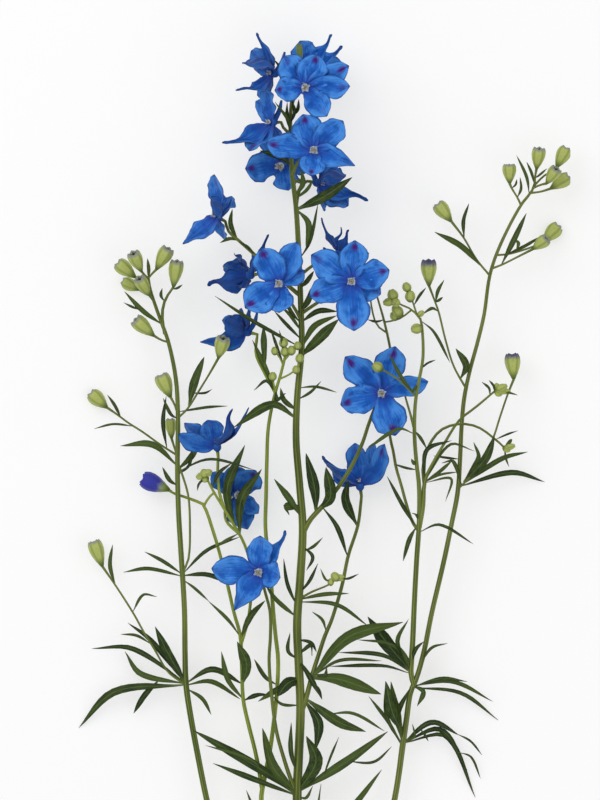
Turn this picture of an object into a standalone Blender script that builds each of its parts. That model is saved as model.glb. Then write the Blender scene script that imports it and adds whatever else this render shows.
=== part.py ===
# Cut delphinium: a branched flower stem lying on a surface, with open blooms and green buds.
# Lengths are in millimetres until a mesh is made. X runs across the spray, Y along it towards
# the flowers and Z up. The origin is the flat that the cut end of the stem rests on.
import math

import bmesh
import bpy
from mathutils import Vector

# Driving dimensions, in millimetres and degrees
millimetre = 0.001
restOffset = (0.0, 170.0, 0.0)       # from the drawing's origin to the flat under the cut end
cutEndY = -190.0
flatEndY = -158.0
stemRadius = 2.9
stemSides = 8
restHeight = stemRadius * math.cos(math.pi / stemSides)
jointGap = 0.35                      # clear space between two nodes that meet
bladeThickness = 0.9
sepalThickness = 1.0
receptacleRadius = 2.3               # base of a bloom, where its sepals grow together
receptacleDepth = 3.2
receptacleRise = 1.2
centreRadius = 2.2
stalkLead = 2.8                      # straight length of a stalk just behind its bloom
stalkRadius = 0.85
spurRise = (0.0, 1.0, 0.25)          # the side of a bloom that its spur bends to

leafFold = 0.25                      # how far the edges of a blade rise, as a share of its half width
leafWave = 0.1
leafLean = 24.0                      # the most that a leaf turns about its own length
sepalFold = 0.22
sepalWave = 0.09
cupStart = 0.35                      # sepals that point forwards more than this open as a cup
cupWidth = 6.0
spurBack = (0.24, 0.3)               # how far a spur runs back and up, at its bend and at its end,
spurUp = (0.48, 0.95)                # as shares of its length
spurRadii = (1.5, 1.2, 0.6)
shortSpur = 0.6                      # share of the full length, on blooms facing up the stem
budStalkRadius = 0.6
budSides = 5
tinyBudSides = 4
bloomSides = 5
centreSides = 6

bladeSteps = 50                      # points along a blade that its outline can be set at
stemStep = 22.0                      # length between the rings of a stem, for a radius of 1
mainStemSteps = 22
flatAngle = math.radians(1.5)        # faces as level with each other as this are merged
sharpAngle = math.radians(40)
seatReach = 6.0                      # how far a root may lie from what it grows on
seatShare = 0.04                     # a root keeps this share of a length clear of its ends

# Outlines: place along the blade, and its share of the full width; both ends are points
leafOutline = ((0.22, 0.6), (0.46, 1.0), (0.74, 0.7))
bractOutline = ((0.45, 1.0),)
sepalOutline = ((0.2, 0.66), (0.52, 1.0), (0.83, 0.78))
tailedOutline = ((0.2, 0.7), (0.46, 1.0), (0.74, 0.3))
longLeaf = 20.0                      # blades shorter than this have the shorter outline
# Outline of a bud: place along it, and its share of the full radius
budOutline = ((0.0, 0.3), (0.35, 0.8), (0.7, 1.0), (1.0, 0.5))

# Stems and branches: the node, then points (x, y, z, radius) along the middle of the stem
stemRoutes = (
    ("main_stem", ((0.0, -146.0, restHeight, 2.9), (0.8, -110, 3.6, 2.8), (1.2, -70, 6.2, 2.7),
                   (0.0, -30, 10, 2.6), (-1.5, 0, 13.2, 2.5), (-0.8, 20, 15.2, 2.45),
                   (0.2, 45, 17.6, 2.4), (-0.6, 66, 19.6, 2.35), (-1.5, 88, 21.6, 2.3),
                   (0.0, 110, 23.4, 2.25), (1.3, 136, 25.6, 2.15), (-0.3, 158, 27.4, 2.0),
                   (-2.0, 180, 29, 1.9), (-1.4, 202, 30.6, 1.8), (0.8, 226, 32, 1.65),
                   (0.3, 248, 33.2, 1.55), (-0.6, 272, 34.2, 1.45), (-2.0, 296, 35, 1.35),
                   (-4.2, 316, 35.4, 1.25), (-4.6, 345, 35.5, 1.0), (-1.5, 362, 36, 0.8),
                   (-0.4, 368, 36.6, 0.7))),
    ("left_lateral", ((-4.95, -146, 2.6, 1.7), (-7, -132, 3.4, 1.75), (-14, -112, 4.6, 1.75),
                      (-26, -80, 6.5, 1.7), (-37, -42, 8.5, 1.7), (-47, 0, 10.5, 1.6),
                      (-51, 20, 11.5, 1.6), (-54.7, 40, 12.3, 1.6), (-57.2, 57, 13, 1.6),
                      (-57.7, 72, 13.5, 1.5), (-58, 95, 14.2, 1.45), (-59.5, 120, 15, 1.45),
                      (-61, 145, 15.6, 1.4), (-61.5, 168, 16, 1.35), (-61.2, 190, 16.4, 1.25),
                      (-62.2, 210, 16.8, 1.15), (-66, 229, 17, 1.05), (-71, 243, 17.5, 0.95),
                      (-75, 255, 18, 0.85), (-76, 261, 18.5, 0.75))),
    ("left_lateral", ((-67.8, 233, 17.1, 0.95), (-69, 240, 17.6, 0.85), (-68.6, 247, 18.6, 0.8),
                      (-66.6, 252, 19.6, 0.7), (-63.8, 256, 20.5, 0.6))),
    ("left_lateral", ((-59, 113, 14.8, 0.65), (-55.8, 121, 16.8, 0.6), (-55.2, 139, 18.6, 0.6),
                      (-56, 152, 18.8, 0.6), (-58.5, 161, 17.8, 0.6), (-61, 168, 16.4, 0.6))),
    ("right_lateral", ((4.95, -140, 2.6, 1.7), (8.5, -127, 3.4, 1.75), (18, -105, 4.8, 1.75),
                       (30, -72, 6.8, 1.7), (40, -36, 8.8, 1.65), (47.5, 0, 10.5, 1.6),
                       (49.8, 14, 11.2, 1.6), (51.5, 27, 11.8, 1.65), (53.4, 40, 12.2, 1.55),
                       (55.3, 53, 12.6, 1.5), (58.6, 61, 12.9, 1.4), (62.2, 74, 13.3, 1.4),
                       (66, 93, 13.9, 1.35), (72.3, 120, 14.6, 1.35), (76, 138, 15.1, 1.3),
                       (79, 153.5, 15.5, 1.3), (80.2, 170, 15.8, 1.2), (81, 187, 16, 1.15),
                       (82.3, 201, 16.2, 1.15), (85.2, 215, 16.4, 1.05), (89, 229, 16.8, 1.05),
                       (92.3, 243, 17.2, 1.0), (94.8, 261, 18, 0.95), (98, 272, 18.6, 0.9),
                       (104, 285.5, 19.4, 0.85), (110.9, 298, 20.4, 0.8),
                       (116, 304.5, 21, 0.7), (117.6, 309, 21.4, 0.55))),
    ("right_inner_lateral", ((54.8, 61.8, 14.8, 1.45), (55.9, 70, 16, 1.5), (56.5, 80, 17, 1.5),
                             (57.2, 97, 18.4, 1.45), (58.4, 120, 20.5, 1.4),
                             (59.6, 138, 22.7, 1.35), (59.6, 156, 25.5, 1.2),
                             (58.2, 169, 27.5, 1.1), (57.2, 183, 29.5, 1.05),
                             (57.6, 198, 31.5, 0.95), (59.1, 208, 33, 0.9),
                             (61.4, 221, 34.5, 0.85), (61, 236, 35.5, 0.75),
                             (60, 241, 36, 0.6))),
    ("right_inner_lateral", ((59.8, 136, 22.5, 1.2), (61.6, 147, 23.6, 1.2), (62.2, 158, 24.2, 1.1),
                             (64.6, 165, 25.2, 0.8), (72.9, 179.5, 26.5, 0.75),
                             (79.8, 190, 27, 0.7), (88, 196.5, 27, 0.65), (97.6, 204.6, 26.8, 0.55))),
    ("right_inner_lateral", ((62.2, 157, 24.0, 0.9), (61.5, 166.5, 23.4, 0.8), (64.5, 177, 22.6, 0.8),
                             (70.6, 185, 22, 0.75), (79.8, 188, 21.8, 0.7), (89, 186.5, 22, 0.65),
                             (98.2, 180, 22, 0.6), (102.5, 176, 22, 0.55))),
    ("right_inner_lateral", ((59.3, 134.5, 22.3, 1.0), (56, 139.5, 21.5, 0.9), (53.5, 147, 20, 0.85),
                             (50.8, 157, 18, 0.8), (48.2, 166, 16, 0.8), (46.8, 174, 14, 0.8),
                             (45, 183, 11, 0.75), (45.6, 195, 9, 0.75), (46.2, 208, 10, 0.7),
                             (46, 220, 13.5, 0.7), (45, 227, 17, 0.7), (42, 240, 24, 0.65),
                             (38.5, 252, 30, 0.5))),
    ("right_inner_lateral", ((42.9, 234, 20.8, 0.55), (38.5, 237.5, 22.5, 0.5), (36.3, 244, 24.5, 0.5),
                             (35.2, 251, 26, 0.45))),
    ("right_inner_lateral", ((42.2, 239, 23.4, 0.5), (46, 239.6, 28, 0.5), (50.5, 241, 33, 0.5),
                             (55.5, 244.8, 36, 0.5))),
    ("right_inner_lateral", ((57.2, 185, 29.7, 0.8), (55.2, 193, 25, 0.65), (53.2, 200, 19.5, 0.55),
                             (51.5, 207, 15.5, 0.45))),
    ("right_inner_lateral", ((60, 240.5, 36, 0.6), (56, 245, 36.5, 0.55), (51, 247.3, 37, 0.5),
                             (47.3, 249.5, 37, 0.45))),
    ("right_inner_lateral", ((58.4, 242.6, 36.2, 0.5), (56.8, 247.4, 36.6, 0.5),
                             (55.4, 252, 37, 0.45))),
    ("centre_branch", ((-3.5, -84, 5.2, 1.5), (-6, -62, 8, 1.45), (-12, -35, 11.5, 1.4),
                       (-17.5, -12, 14.5, 1.35), (-19.5, 0, 15.5, 1.3), (-17.5, 12, 16.5, 1.25),
                       (-15, 25, 17.5, 1.2), (-13, 40, 18.2, 1.15), (-11.5, 55, 18.8, 1.1),
                       (-11, 70, 19, 1.1), (-12.3, 82, 19, 1.1), (-13.5, 95, 18.6, 1.1),
                       (-15, 115, 18.2, 1.1), (-17.3, 135, 19, 1.05), (-17, 152, 20.5, 1.05),
                       (-16.6, 170, 22.5, 1.0), (-16, 185, 25, 0.95), (-14, 197, 28.6, 0.9),
                       (-12, 205, 31.5, 0.85), (-9.6, 213, 34.5, 0.8), (-7.6, 221, 37, 0.75))),
    ("centre_branch", ((-18.9, 4, 15.8, 1.2), (-20.5, 14, 16.2, 1.15), (-22.5, 24, 16.8, 1.1),
                       (-26, 38, 17.5, 1.1), (-28.5, 50, 18, 1.05), (-29.2, 66, 18.3, 1.0),
                       (-30, 82, 18.5, 1.0), (-33, 93, 18.8, 0.95), (-36, 106, 19, 0.95),
                       (-40, 122, 19, 0.9), (-43.5, 134, 18.6, 0.9), (-48.5, 147.5, 17.6, 0.85),
                       (-53, 149.6, 14.6, 0.8), (-58, 151.4, 12, 0.75), (-62.5, 152.8, 11.3, 0.7),
                       (-66, 154.6, 11.6, 0.6))),
    ("centre_branch", ((-29.7, 77, 18.4, 0.9), (-26, 90, 17, 0.85), (-24.5, 104, 16.5, 0.85),
                       (-25, 118, 17, 0.85), (-28, 128, 18.4, 0.8), (-32, 135.5, 20, 0.8),
                       (-38, 145.5, 23, 0.75), (-43.5, 154.5, 25.5, 0.7), (-46.5, 160.5, 26.5, 0.6))),
    ("centre_branch", ((-48.2, 147, 17.6, 0.7), (-45.6, 151.2, 21.6, 0.65), (-43, 153.6, 25.2, 0.6))),
)

# Flower stalks: the node, the bloom, then points (x, y, z, radius); the last point is worked out
stalkRoutes = (
    ("main_stem", "bloom_01", ((-4.6, 350, 35.5, 0.9), (-6.5, 356, 38, 0.8))),
    ("main_stem", "bloom_02", ((-4.4, 346, 35.5, 0.9), (-2.5, 351, 42, 0.8), (0.5, 354, 47, 0.8))),
    ("main_stem", "bloom_03", ((-1.5, 361, 35.8, 0.7), (-3.2, 364.5, 30, 0.7),
                               (-3.4, 366.6, 22, 0.7), (-0.5, 366.4, 14, 0.7))),
    ("main_stem", "bloom_04", ((-4.6, 333, 35.5, 0.9), (-8, 335.5, 38, 0.8))),
    ("main_stem", "bloom_05", ((-4, 312, 35.3, 1.0), (-1.5, 318, 42, 0.85), (3.5, 322.5, 48, 0.8))),
    ("main_stem", "bloom_06", ((-3.8, 310, 35, 0.9), (1.2, 308.6, 27, 0.8),
                               (0.8, 309.2, 16, 0.8), (-2.6, 312.8, 8, 0.75))),
    ("main_stem", "bloom_07", ((-1.8, 296, 35, 0.9), (-1, 302, 31, 0.85), (0.6, 307, 25.6, 0.8))),
    ("main_stem", "bloom_08", ((0.4, 252, 33.4, 1.2), (-7, 258, 31.5, 1.1), (-15, 265, 30, 1.0),
                               (-22, 272, 29.5, 0.95), (-31, 280, 30.5, 0.85),
                               (-35.5, 284, 31.5, 0.8))),
    ("main_stem", "bloom_09", ((-14, 264, 30.1, 0.9), (-19, 266, 30.5, 0.8))),
    ("main_stem", "bloom_10", ((0.6, 240, 32.8, 1.0), (-3.5, 247, 38, 0.85), (-8, 254, 45, 0.8))),
    ("main_stem", "bloom_11", ((0.6, 243, 33, 1.0), (7, 247.5, 36, 0.9), (16, 253, 39, 0.8),
                               (23, 257, 43, 0.8))),
    ("main_stem", "bloom_12", ((-0.2, 262, 33.9, 0.95), (6, 267, 31, 0.85), (13, 271, 28, 0.8))),
    ("centre_branch", "bloom_13", ((-12.5, 203.5, 31, 0.85), (-18, 214, 31, 0.8),
                                   (-22, 223, 30, 0.8))),
    ("main_stem", "bloom_14", ((1.0, 133, 25.4, 1.5), (5, 140, 26.6, 1.4), (10.8, 146.5, 27.6, 1.35),
                               (18.5, 155.6, 30, 1.15), (25.5, 166.4, 31.5, 1.1), (31, 178, 28.5, 1.0),
                               (34.4, 188, 21.5, 0.95), (38, 197.5, 15.4, 0.9))),
    ("main_stem", "bloom_15", ((0.4, 42, 17.4, 1.5), (3.4, 52, 18.8, 1.4), (6, 62, 20, 1.25),
                               (9.5, 73, 20.4, 1.15), (12.5, 82, 20.2, 1.1), (15.9, 90, 19.6, 1.0),
                               (21, 107, 18, 1.0), (24.2, 122, 16, 0.95), (29, 137, 12.5, 0.9),
                               (30.6, 149, 9.6, 0.85))),
    ("centre_branch", "bloom_16", ((-37.8, 145.2, 22.9, 0.8), (-40.4, 154, 24.4, 0.8),
                                   (-41.2, 165, 25, 0.8))),
    ("centre_branch", "bloom_17", ((-30.4, 133, 19.2, 0.8), (-36.8, 139, 12.6, 0.8),
                                   (-37.4, 146, 6, 0.75))),
    ("main_stem", "bloom_18", ((-1.2, 3, 13.5, 1.3), (-4, 8, 15, 1.2), (-8, 20, 18.6, 1.05),
                               (-12, 35, 22, 1.0), (-14.5, 55, 24.4, 0.95), (-15.5, 70, 25.4, 0.9),
                               (-14.8, 82, 25.8, 0.9), (-15, 94, 26, 0.85), (-17.5, 104, 26.2, 0.8))),
)

# Large buds: the node, base, tip (x, y, z), full width, and points of the stalk that carries it
budPlaces = (
    ("left_lateral", (-72, 265.4, 20.5), (-66, 276, 23), 7.6,
     ((-76.2, 261, 18.6), (-74.4, 263, 19.4))),
    ("left_lateral", (-63.4, 256.6, 20.8), (-61.6, 269.6, 23.5), 7.4, ((-64.6, 255.2, 20.2),)),
    ("left_lateral", (-79.4, 264.4, 21.5), (-83.6, 273.6, 26.5), 7.2,
     ((-76, 261, 18.5), (-77.6, 262.4, 19.8))),
    ("left_lateral", (-82.6, 261.6, 16.2), (-91.4, 268.8, 14.5), 7.8,
     ((-76.3, 260.4, 18.2), (-79.4, 260, 17))),
    ("left_lateral", (-80.6, 255.4, 6.2), (-88.6, 259.6, 2.0), 6.6,
     ((-74, 252, 17.8), (-77, 253, 11.4))),
    ("left_lateral", (-75.4, 252.4, 22), (-80.6, 261, 27.5), 6.8,
     ((-72.8, 248.6, 17.8), (-74, 250.4, 20))),
    ("left_lateral", (-73.2, 232.2, 19.6), (-82.6, 240.4, 21.5), 7.8,
     ((-66, 229, 17), (-69.5, 230, 18.4))),
    ("left_lateral", (-64.9, 201.4, 15.2), (-69.8, 212.6, 14.4), 8.2,
     ((-61.4, 192, 16.2), (-62.8, 197.4, 15.6))),
    ("left_lateral", (-40.8, 221, 30), (-38.2, 231.2, 34.6), 7.6,
     ((-61, 191, 16.4), (-56.4, 195.6, 18.6), (-51, 204, 22), (-46, 212, 25.6))),
    ("left_lateral", (-64.4, 180.4, 10.4), (-65.2, 190.4, 8.6), 5.6,
     ((-61.6, 171.5, 15.6), (-63, 176, 12.6))),
    ("left_lateral", (-97, 196.2, 5.2), (-105, 203.4, 2.4), 7.8,
     ((-62.4, 172.6, 16), (-70, 177.6, 16), (-79, 184, 14.2), (-86, 188.4, 11.4), (-92, 192.8, 8))),
    ("centre_branch", (-65.6, 154.8, 11.6), (-79, 160.6, 10.2), 9.4, ((-64, 153.6, 11.4),)),
    ("left_lateral", (-99.2, 116.4, 9.5), (-103.6, 129, 8.6), 7.6,
     ((-58.2, 57, 13.2), (-66, 63.5, 15), (-73, 75, 16.4), (-78, 83, 16.2), (-83, 92, 15),
      (-88, 100, 13.4), (-94, 109, 11.2))),
    ("right_lateral", (75.8, 289.6, 16.4), (69, 298.4, 15), 7.6,
     ((94.8, 262.4, 18), (88.4, 270.5, 18.2), (82, 281.4, 17.4))),
    ("right_lateral", (105, 308.4, 20.4), (104.8, 318, 20.8), 7,
     ((110.6, 297.6, 20.4), (108.8, 301.6, 20.8), (106.4, 305.4, 20.6))),
    ("right_lateral", (118.4, 315.6, 23), (119.8, 326, 25.5), 7,
     ((117.6, 309, 21.4), (117.8, 312.4, 22))),
    ("right_lateral", (128.6, 316.6, 17.6), (133.6, 326.4, 16), 7.4,
     ((117, 307, 21.2), (121.4, 311.6, 20.4), (125.4, 314.4, 19))),
    ("right_lateral", (123.4, 308.4, 25.2), (128.4, 315.8, 29), 6.8,
     ((116.8, 306, 21.2), (120, 307.6, 23))),
    ("right_lateral", (125.6, 306, 17), (134.6, 312, 14.6), 7.2,
     ((115.4, 303.6, 21), (120.6, 304.4, 19))),
    ("right_lateral", (122.4, 279.6, 6), (129.6, 287.4, 2.5), 7.8,
     ((98.2, 272.6, 18.6), (104.6, 273.2, 17.4), (112.4, 275.4, 14), (118.4, 277.6, 9.4))),
    ("right_lateral", (116.6, 275.6, 22.2), (123.6, 281, 24.6), 6.6,
     ((96, 265.8, 18.2), (101.6, 268, 19.4), (108.8, 271.6, 21))),
    ("right_lateral", (64.6, 257.2, 20.6), (64.4, 270, 22.6), 8,
     ((82.4, 206, 16.4), (77, 217, 17.4), (72.8, 230.5, 18.4), (69.6, 243.6, 19.2), (67, 251, 20))),
    ("right_lateral", (107.2, 210.4, 13.4), (106.4, 223, 12.2), 8,
     ((79.4, 155.4, 15.6), (84.4, 160.6, 17.8), (91.4, 169.6, 19.4), (96.8, 181, 19.4),
      (100.4, 192, 17.6), (104.2, 203, 15))),
)

# Tiny buds, no longer than a lentil: the node, middle, full width
tinyBudPlaces = (
    ("main_stem", (-0.4, 371.5, 37.2), 4.0),
    ("right_inner_lateral", (46.4, 252.2, 37), 4.6), ("right_inner_lateral", (44, 248.8, 37.4), 3.6),
    ("right_inner_lateral", (47.8, 248.6, 38.6), 3.8), ("right_inner_lateral", (48.6, 244.6, 33.4), 4.6),
    ("right_inner_lateral", (47.2, 241.8, 30.6), 3.6), ("right_inner_lateral", (53.4, 256.2, 37.4), 3.8),
    ("right_inner_lateral", (55, 251.6, 37.4), 4.4), ("right_inner_lateral", (58.4, 235.6, 36.2), 4.4),
    ("right_inner_lateral", (60.4, 243.2, 36.8), 2.6),
    ("right_inner_lateral", (99.2, 203.6, 27.2), 3.2), ("right_inner_lateral", (101.4, 206.4, 28), 3.4),
    ("right_inner_lateral", (98.2, 206.6, 26.4), 2.8), ("right_inner_lateral", (103.4, 204.4, 26.8), 2.8),
    ("right_inner_lateral", (103.4, 175.6, 22), 3.2), ("right_inner_lateral", (105.8, 176.8, 22.4), 2.8),
    ("centre_branch", (-7.6, 224, 37.6), 3.6), ("centre_branch", (-8.2, 228.4, 38), 3.8),
    ("centre_branch", (-12.6, 224.4, 37.4), 3.2), ("centre_branch", (-4.2, 224.6, 38.4), 3.6),
    ("centre_branch", (-1.2, 227, 38.4), 3.2), ("centre_branch", (-0.2, 220.6, 38.6), 3.6),
    ("centre_branch", (-2, 215, 37.4), 3.2), ("centre_branch", (-13.6, 211.6, 33.6), 3.4),
    ("centre_branch", (-48, 163, 27.4), 3.6), ("centre_branch", (-50, 161.8, 26.6), 3),
    ("centre_branch", (-46, 163.6, 28.2), 3.2), ("centre_branch", (-47.4, 160.4, 26.4), 3),
    ("main_stem", (17.8, 111.4, 25.6), 3.8), ("main_stem", (20.2, 111, 25.2), 3),
    ("main_stem", (15.4, 108.8, 25.2), 2.8),
    ("right_inner_lateral", (39, 216.4, 31.8), 4.4),
)

# Thin stalks that carry tiny buds: the node, then points (x, y, z, radius)
twigRoutes = (
    ("right_inner_lateral",
     ((57.6, 201.6, 32.2, 0.6), (50, 209.5, 32.6, 0.5), (44, 213.6, 32.2, 0.5),
                             (39.6, 216, 31.8, 0.5))),
    ("right_inner_lateral", ((55.6, 251, 36.9, 0.5), (53.8, 255.4, 37.3, 0.5))),
    ("main_stem",
     ((0.8, 100, 22.8, 0.7), (6, 104, 24, 0.6), (14, 107.4, 25, 0.5), (19, 111, 25.4, 0.5))),
    ("centre_branch", ((-8.4, 217.6, 35.8, 0.6), (-10, 221, 36.8, 0.5), (-12.4, 224, 37.4, 0.5))),
    ("centre_branch", ((-7.6, 220.6, 37, 0.6), (-7.8, 224.6, 37.8, 0.55), (-8.2, 228, 38, 0.5))),
    ("centre_branch",
     ((-7.8, 219.6, 36.8, 0.6), (-4.6, 223.6, 38.2, 0.5), (-1.4, 226.8, 38.4, 0.5))),
    ("centre_branch", ((-10.2, 210.4, 33.4, 0.6), (-5, 213, 36, 0.5), (-1, 216.6, 38, 0.5),
                       (-0.2, 220.4, 38.6, 0.5))),
    ("centre_branch",
     ((-12.2, 204.6, 31.3, 0.6), (-13.2, 208, 32.6, 0.5), (-13.6, 211.4, 33.4, 0.5))),
    ("centre_branch", ((-46.4, 160.2, 26.5, 0.6), (-47.8, 162.8, 27.2, 0.5))),
)
# Blooms: middle, direction that the bloom faces, and each sepal's tip and full width
bloomPlaces = {
    "bloom_01": ((-13.4, 363, 42), (-0.85, 0.05, 0.5),
                 (((-21.6, 383.2, 44), 12.5), ((-28, 368, 52), 17), ((-32, 354.2, 49), 12),
                  ((-21.4, 352.6, 28), 13), ((-24.5, 374.4, 32), 14))),
    "bloom_02": ((2.4, 355.6, 54), (0.05, -0.05, 1.0),
                 (((-8.4, 371, 56), 14.5), ((9, 371.6, 58), 15.5), ((24.4, 366, 57), 12.5),
                  ((24.8, 355.6, 59), 12), ((13.6, 341.2, 58), 12.5), ((-12.6, 354.2, 57), 12.5))),
    "bloom_03": ((6.4, 367.4, 19.5), (0.25, 0.3, 0.9),
                 (((0.4, 379.4, 25), 17), ((16.8, 382.6, 24), 8), ((21.8, 376.2, 21), 10.9),
                  ((22.4, 366, 17), 14.5), ((2.4, 353, 16), 15.9))),
    "bloom_04": ((-14.2, 338.6, 42.5), (-0.75, 0.0, 0.65),
                 (((-17.8, 356, 41), 10.5), ((-38.2, 327.4, 50), 12.5), ((-25.2, 324, 49), 16.5),
                  ((-9.6, 322, 34), 13), ((-22, 349.6, 30), 9))),
    "bloom_05": ((6.6, 324.6, 54), (0.1, -0.1, 1.0),
                 (((1.2, 342, 57), 15.5), ((21.6, 338.6, 58), 14.5), ((27.4, 316.8, 57), 13),
                  ((5.6, 311.4, 59), 13), ((-17, 327.6, 58), 13))),
    "bloom_06": ((-9, 318, 17), (-0.35, -0.3, 0.9),
                 (((-27.4, 315.6, 22), 15.5), ((-6, 305, 16), 13.5), ((6, 318.5, 10), 12),
                  ((0, 335, 15), 13), ((-18, 336, 22), 12.5))),
    "bloom_07": ((9.4, 308.6, 24.5), (0.85, -0.15, 0.35),
                 (((22.6, 311.6, 33), 17), ((34.4, 300.8, 26), 11.2), ((24.2, 297.2, 20), 13.5),
                  ((19, 318, 15), 16.5), ((12, 294.5, 29), 12))),
    "bloom_08": ((-41.6, 291.6, 33), (-0.65, 0.35, 0.65),
                 (((-42.6, 312.4, 41), 14), ((-44.4, 299.6, 49), 10.5), ((-58.4, 277.8, 39), 17),
                  ((-34.4, 302, 27), 13), ((-38.6, 281, 25), 14))),
    "bloom_09": ((-25.6, 262.4, 24.6), (-0.8, -0.1, -0.45),
                 (((-46.6, 258.2, 17), 13.5), ((-38.4, 265.4, 12.5), 14), ((-31.4, 271.4, 9.5), 14),
                  ((-16.2, 283.4, 18.6), 9.5), ((-31.6, 255, 21), 11))),
    "bloom_10": ((-10.2, 258, 52), (-0.15, -0.05, 1.0),
                 (((-19.4, 275.4, 55), 16.5), ((-1.4, 278.6, 55), 12.7), ((2.2, 264.6, 49), 9.9),
                  ((-10.2, 243.4, 56), 13.8), ((-27.2, 245.6, 57), 16))),
    "bloom_11": ((25.6, 259, 50), (0.0, 0.0, 1.0),
                 (((5.8, 272.6, 53), 15.4), ((27.6, 279.4, 54), 14.3), ((44.4, 265, 52), 14.9),
                  ((40.4, 253, 49), 12.7), ((27.2, 234.4, 54), 16.5), ((4.6, 251.8, 54), 14.3))),
    "bloom_12": ((19.6, 273.6, 24), (0.45, 0.75, -0.3),
                 (((10.6, 291.2, 24), 8.2), ((20.8, 286.4, 13), 10.5), ((25, 284.8, 30), 10.5),
                  ((34.6, 273.4, 22), 15), ((24, 264.5, 14), 15))),
    "bloom_13": ((-28, 233, 25), (-0.85, 0.2, -0.3),
                 (((-50, 228.4, 26), 12.5), ((-39, 240.2, 14), 12.5), ((-29.4, 246, 20), 12),
                  ((-36, 240.4, 37), 14), ((-36.4, 227.6, 18), 9))),
    "bloom_14": ((40.6, 203.6, 24), (0.05, -0.05, 1.0),
                 (((22.4, 221.4, 27), 14.9), ((47.8, 226.8, 26.5), 15.4), ((64.2, 209, 24), 10.5),
                  ((47.8, 182.2, 28), 17), ((20.2, 197.8, 27.5), 15.4))),
    "bloom_15": ((30, 157.6, 11.5), (-0.12, 0.85, 0.3),
                 (((42.6, 177.8, 27), 16), ((37.6, 178.6, 9), 13), ((11.4, 172.2, 13), 12),
                  ((27.6, 178.4, 6), 14), ((13.4, 166.4, 25), 15))),
    "bloom_16": ((-41.6, 177.4, 27), (-0.1, 0.9, 0.25),
                 (((-34.4, 195.2, 40), 14), ((-25.4, 196, 29), 10.5), ((-46, 190, 19), 13),
                  ((-60.6, 184.6, 38), 15), ((-57.6, 189.4, 22), 12))),
    "bloom_17": ((-31.8, 152.6, 11), (0.3, -0.1, 0.95),
                 (((-22, 164.6, 15), 14.5), ((-33.6, 167.4, 14), 13), ((-44.6, 163.4, 12), 10),
                  ((-20, 142.4, 14), 13), ((-26, 135.2, 11), 12))),
    "bloom_18": ((-20.6, 114.2, 34), (-0.05, -0.1, 1.0),
                 (((-44.2, 115.6, 38), 14.5), ((-19.6, 132.2, 37), 13), ((-6.6, 134.4, 34), 10.5),
                  ((-9.8, 111.6, 38), 13.5), ((-32.6, 94.8, 38), 14.5))),
}
# Sepals, by number, that end in a narrow drawn-out tail
tailedSepals = {
    "bloom_01": (0, 2), "bloom_03": (1, 2), "bloom_04": (1,), "bloom_07": (1,),
    "bloom_08": (2,), "bloom_09": (0, 3), "bloom_12": (0,), "bloom_13": (0,),
    "bloom_15": (2,), "bloom_16": (0, 1), "bloom_18": (2,),
}
spurLength = 12.0
# Share of the usual size, for the centres of the narrow, cup-shaped blooms
centreSizes = {
    "bloom_01": 0.6, "bloom_04": 0.6, "bloom_07": 0.5, "bloom_08": 0.6, "bloom_09": 0.5,
    "bloom_15": 0.5, "bloom_16": 0.5,
}

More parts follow.
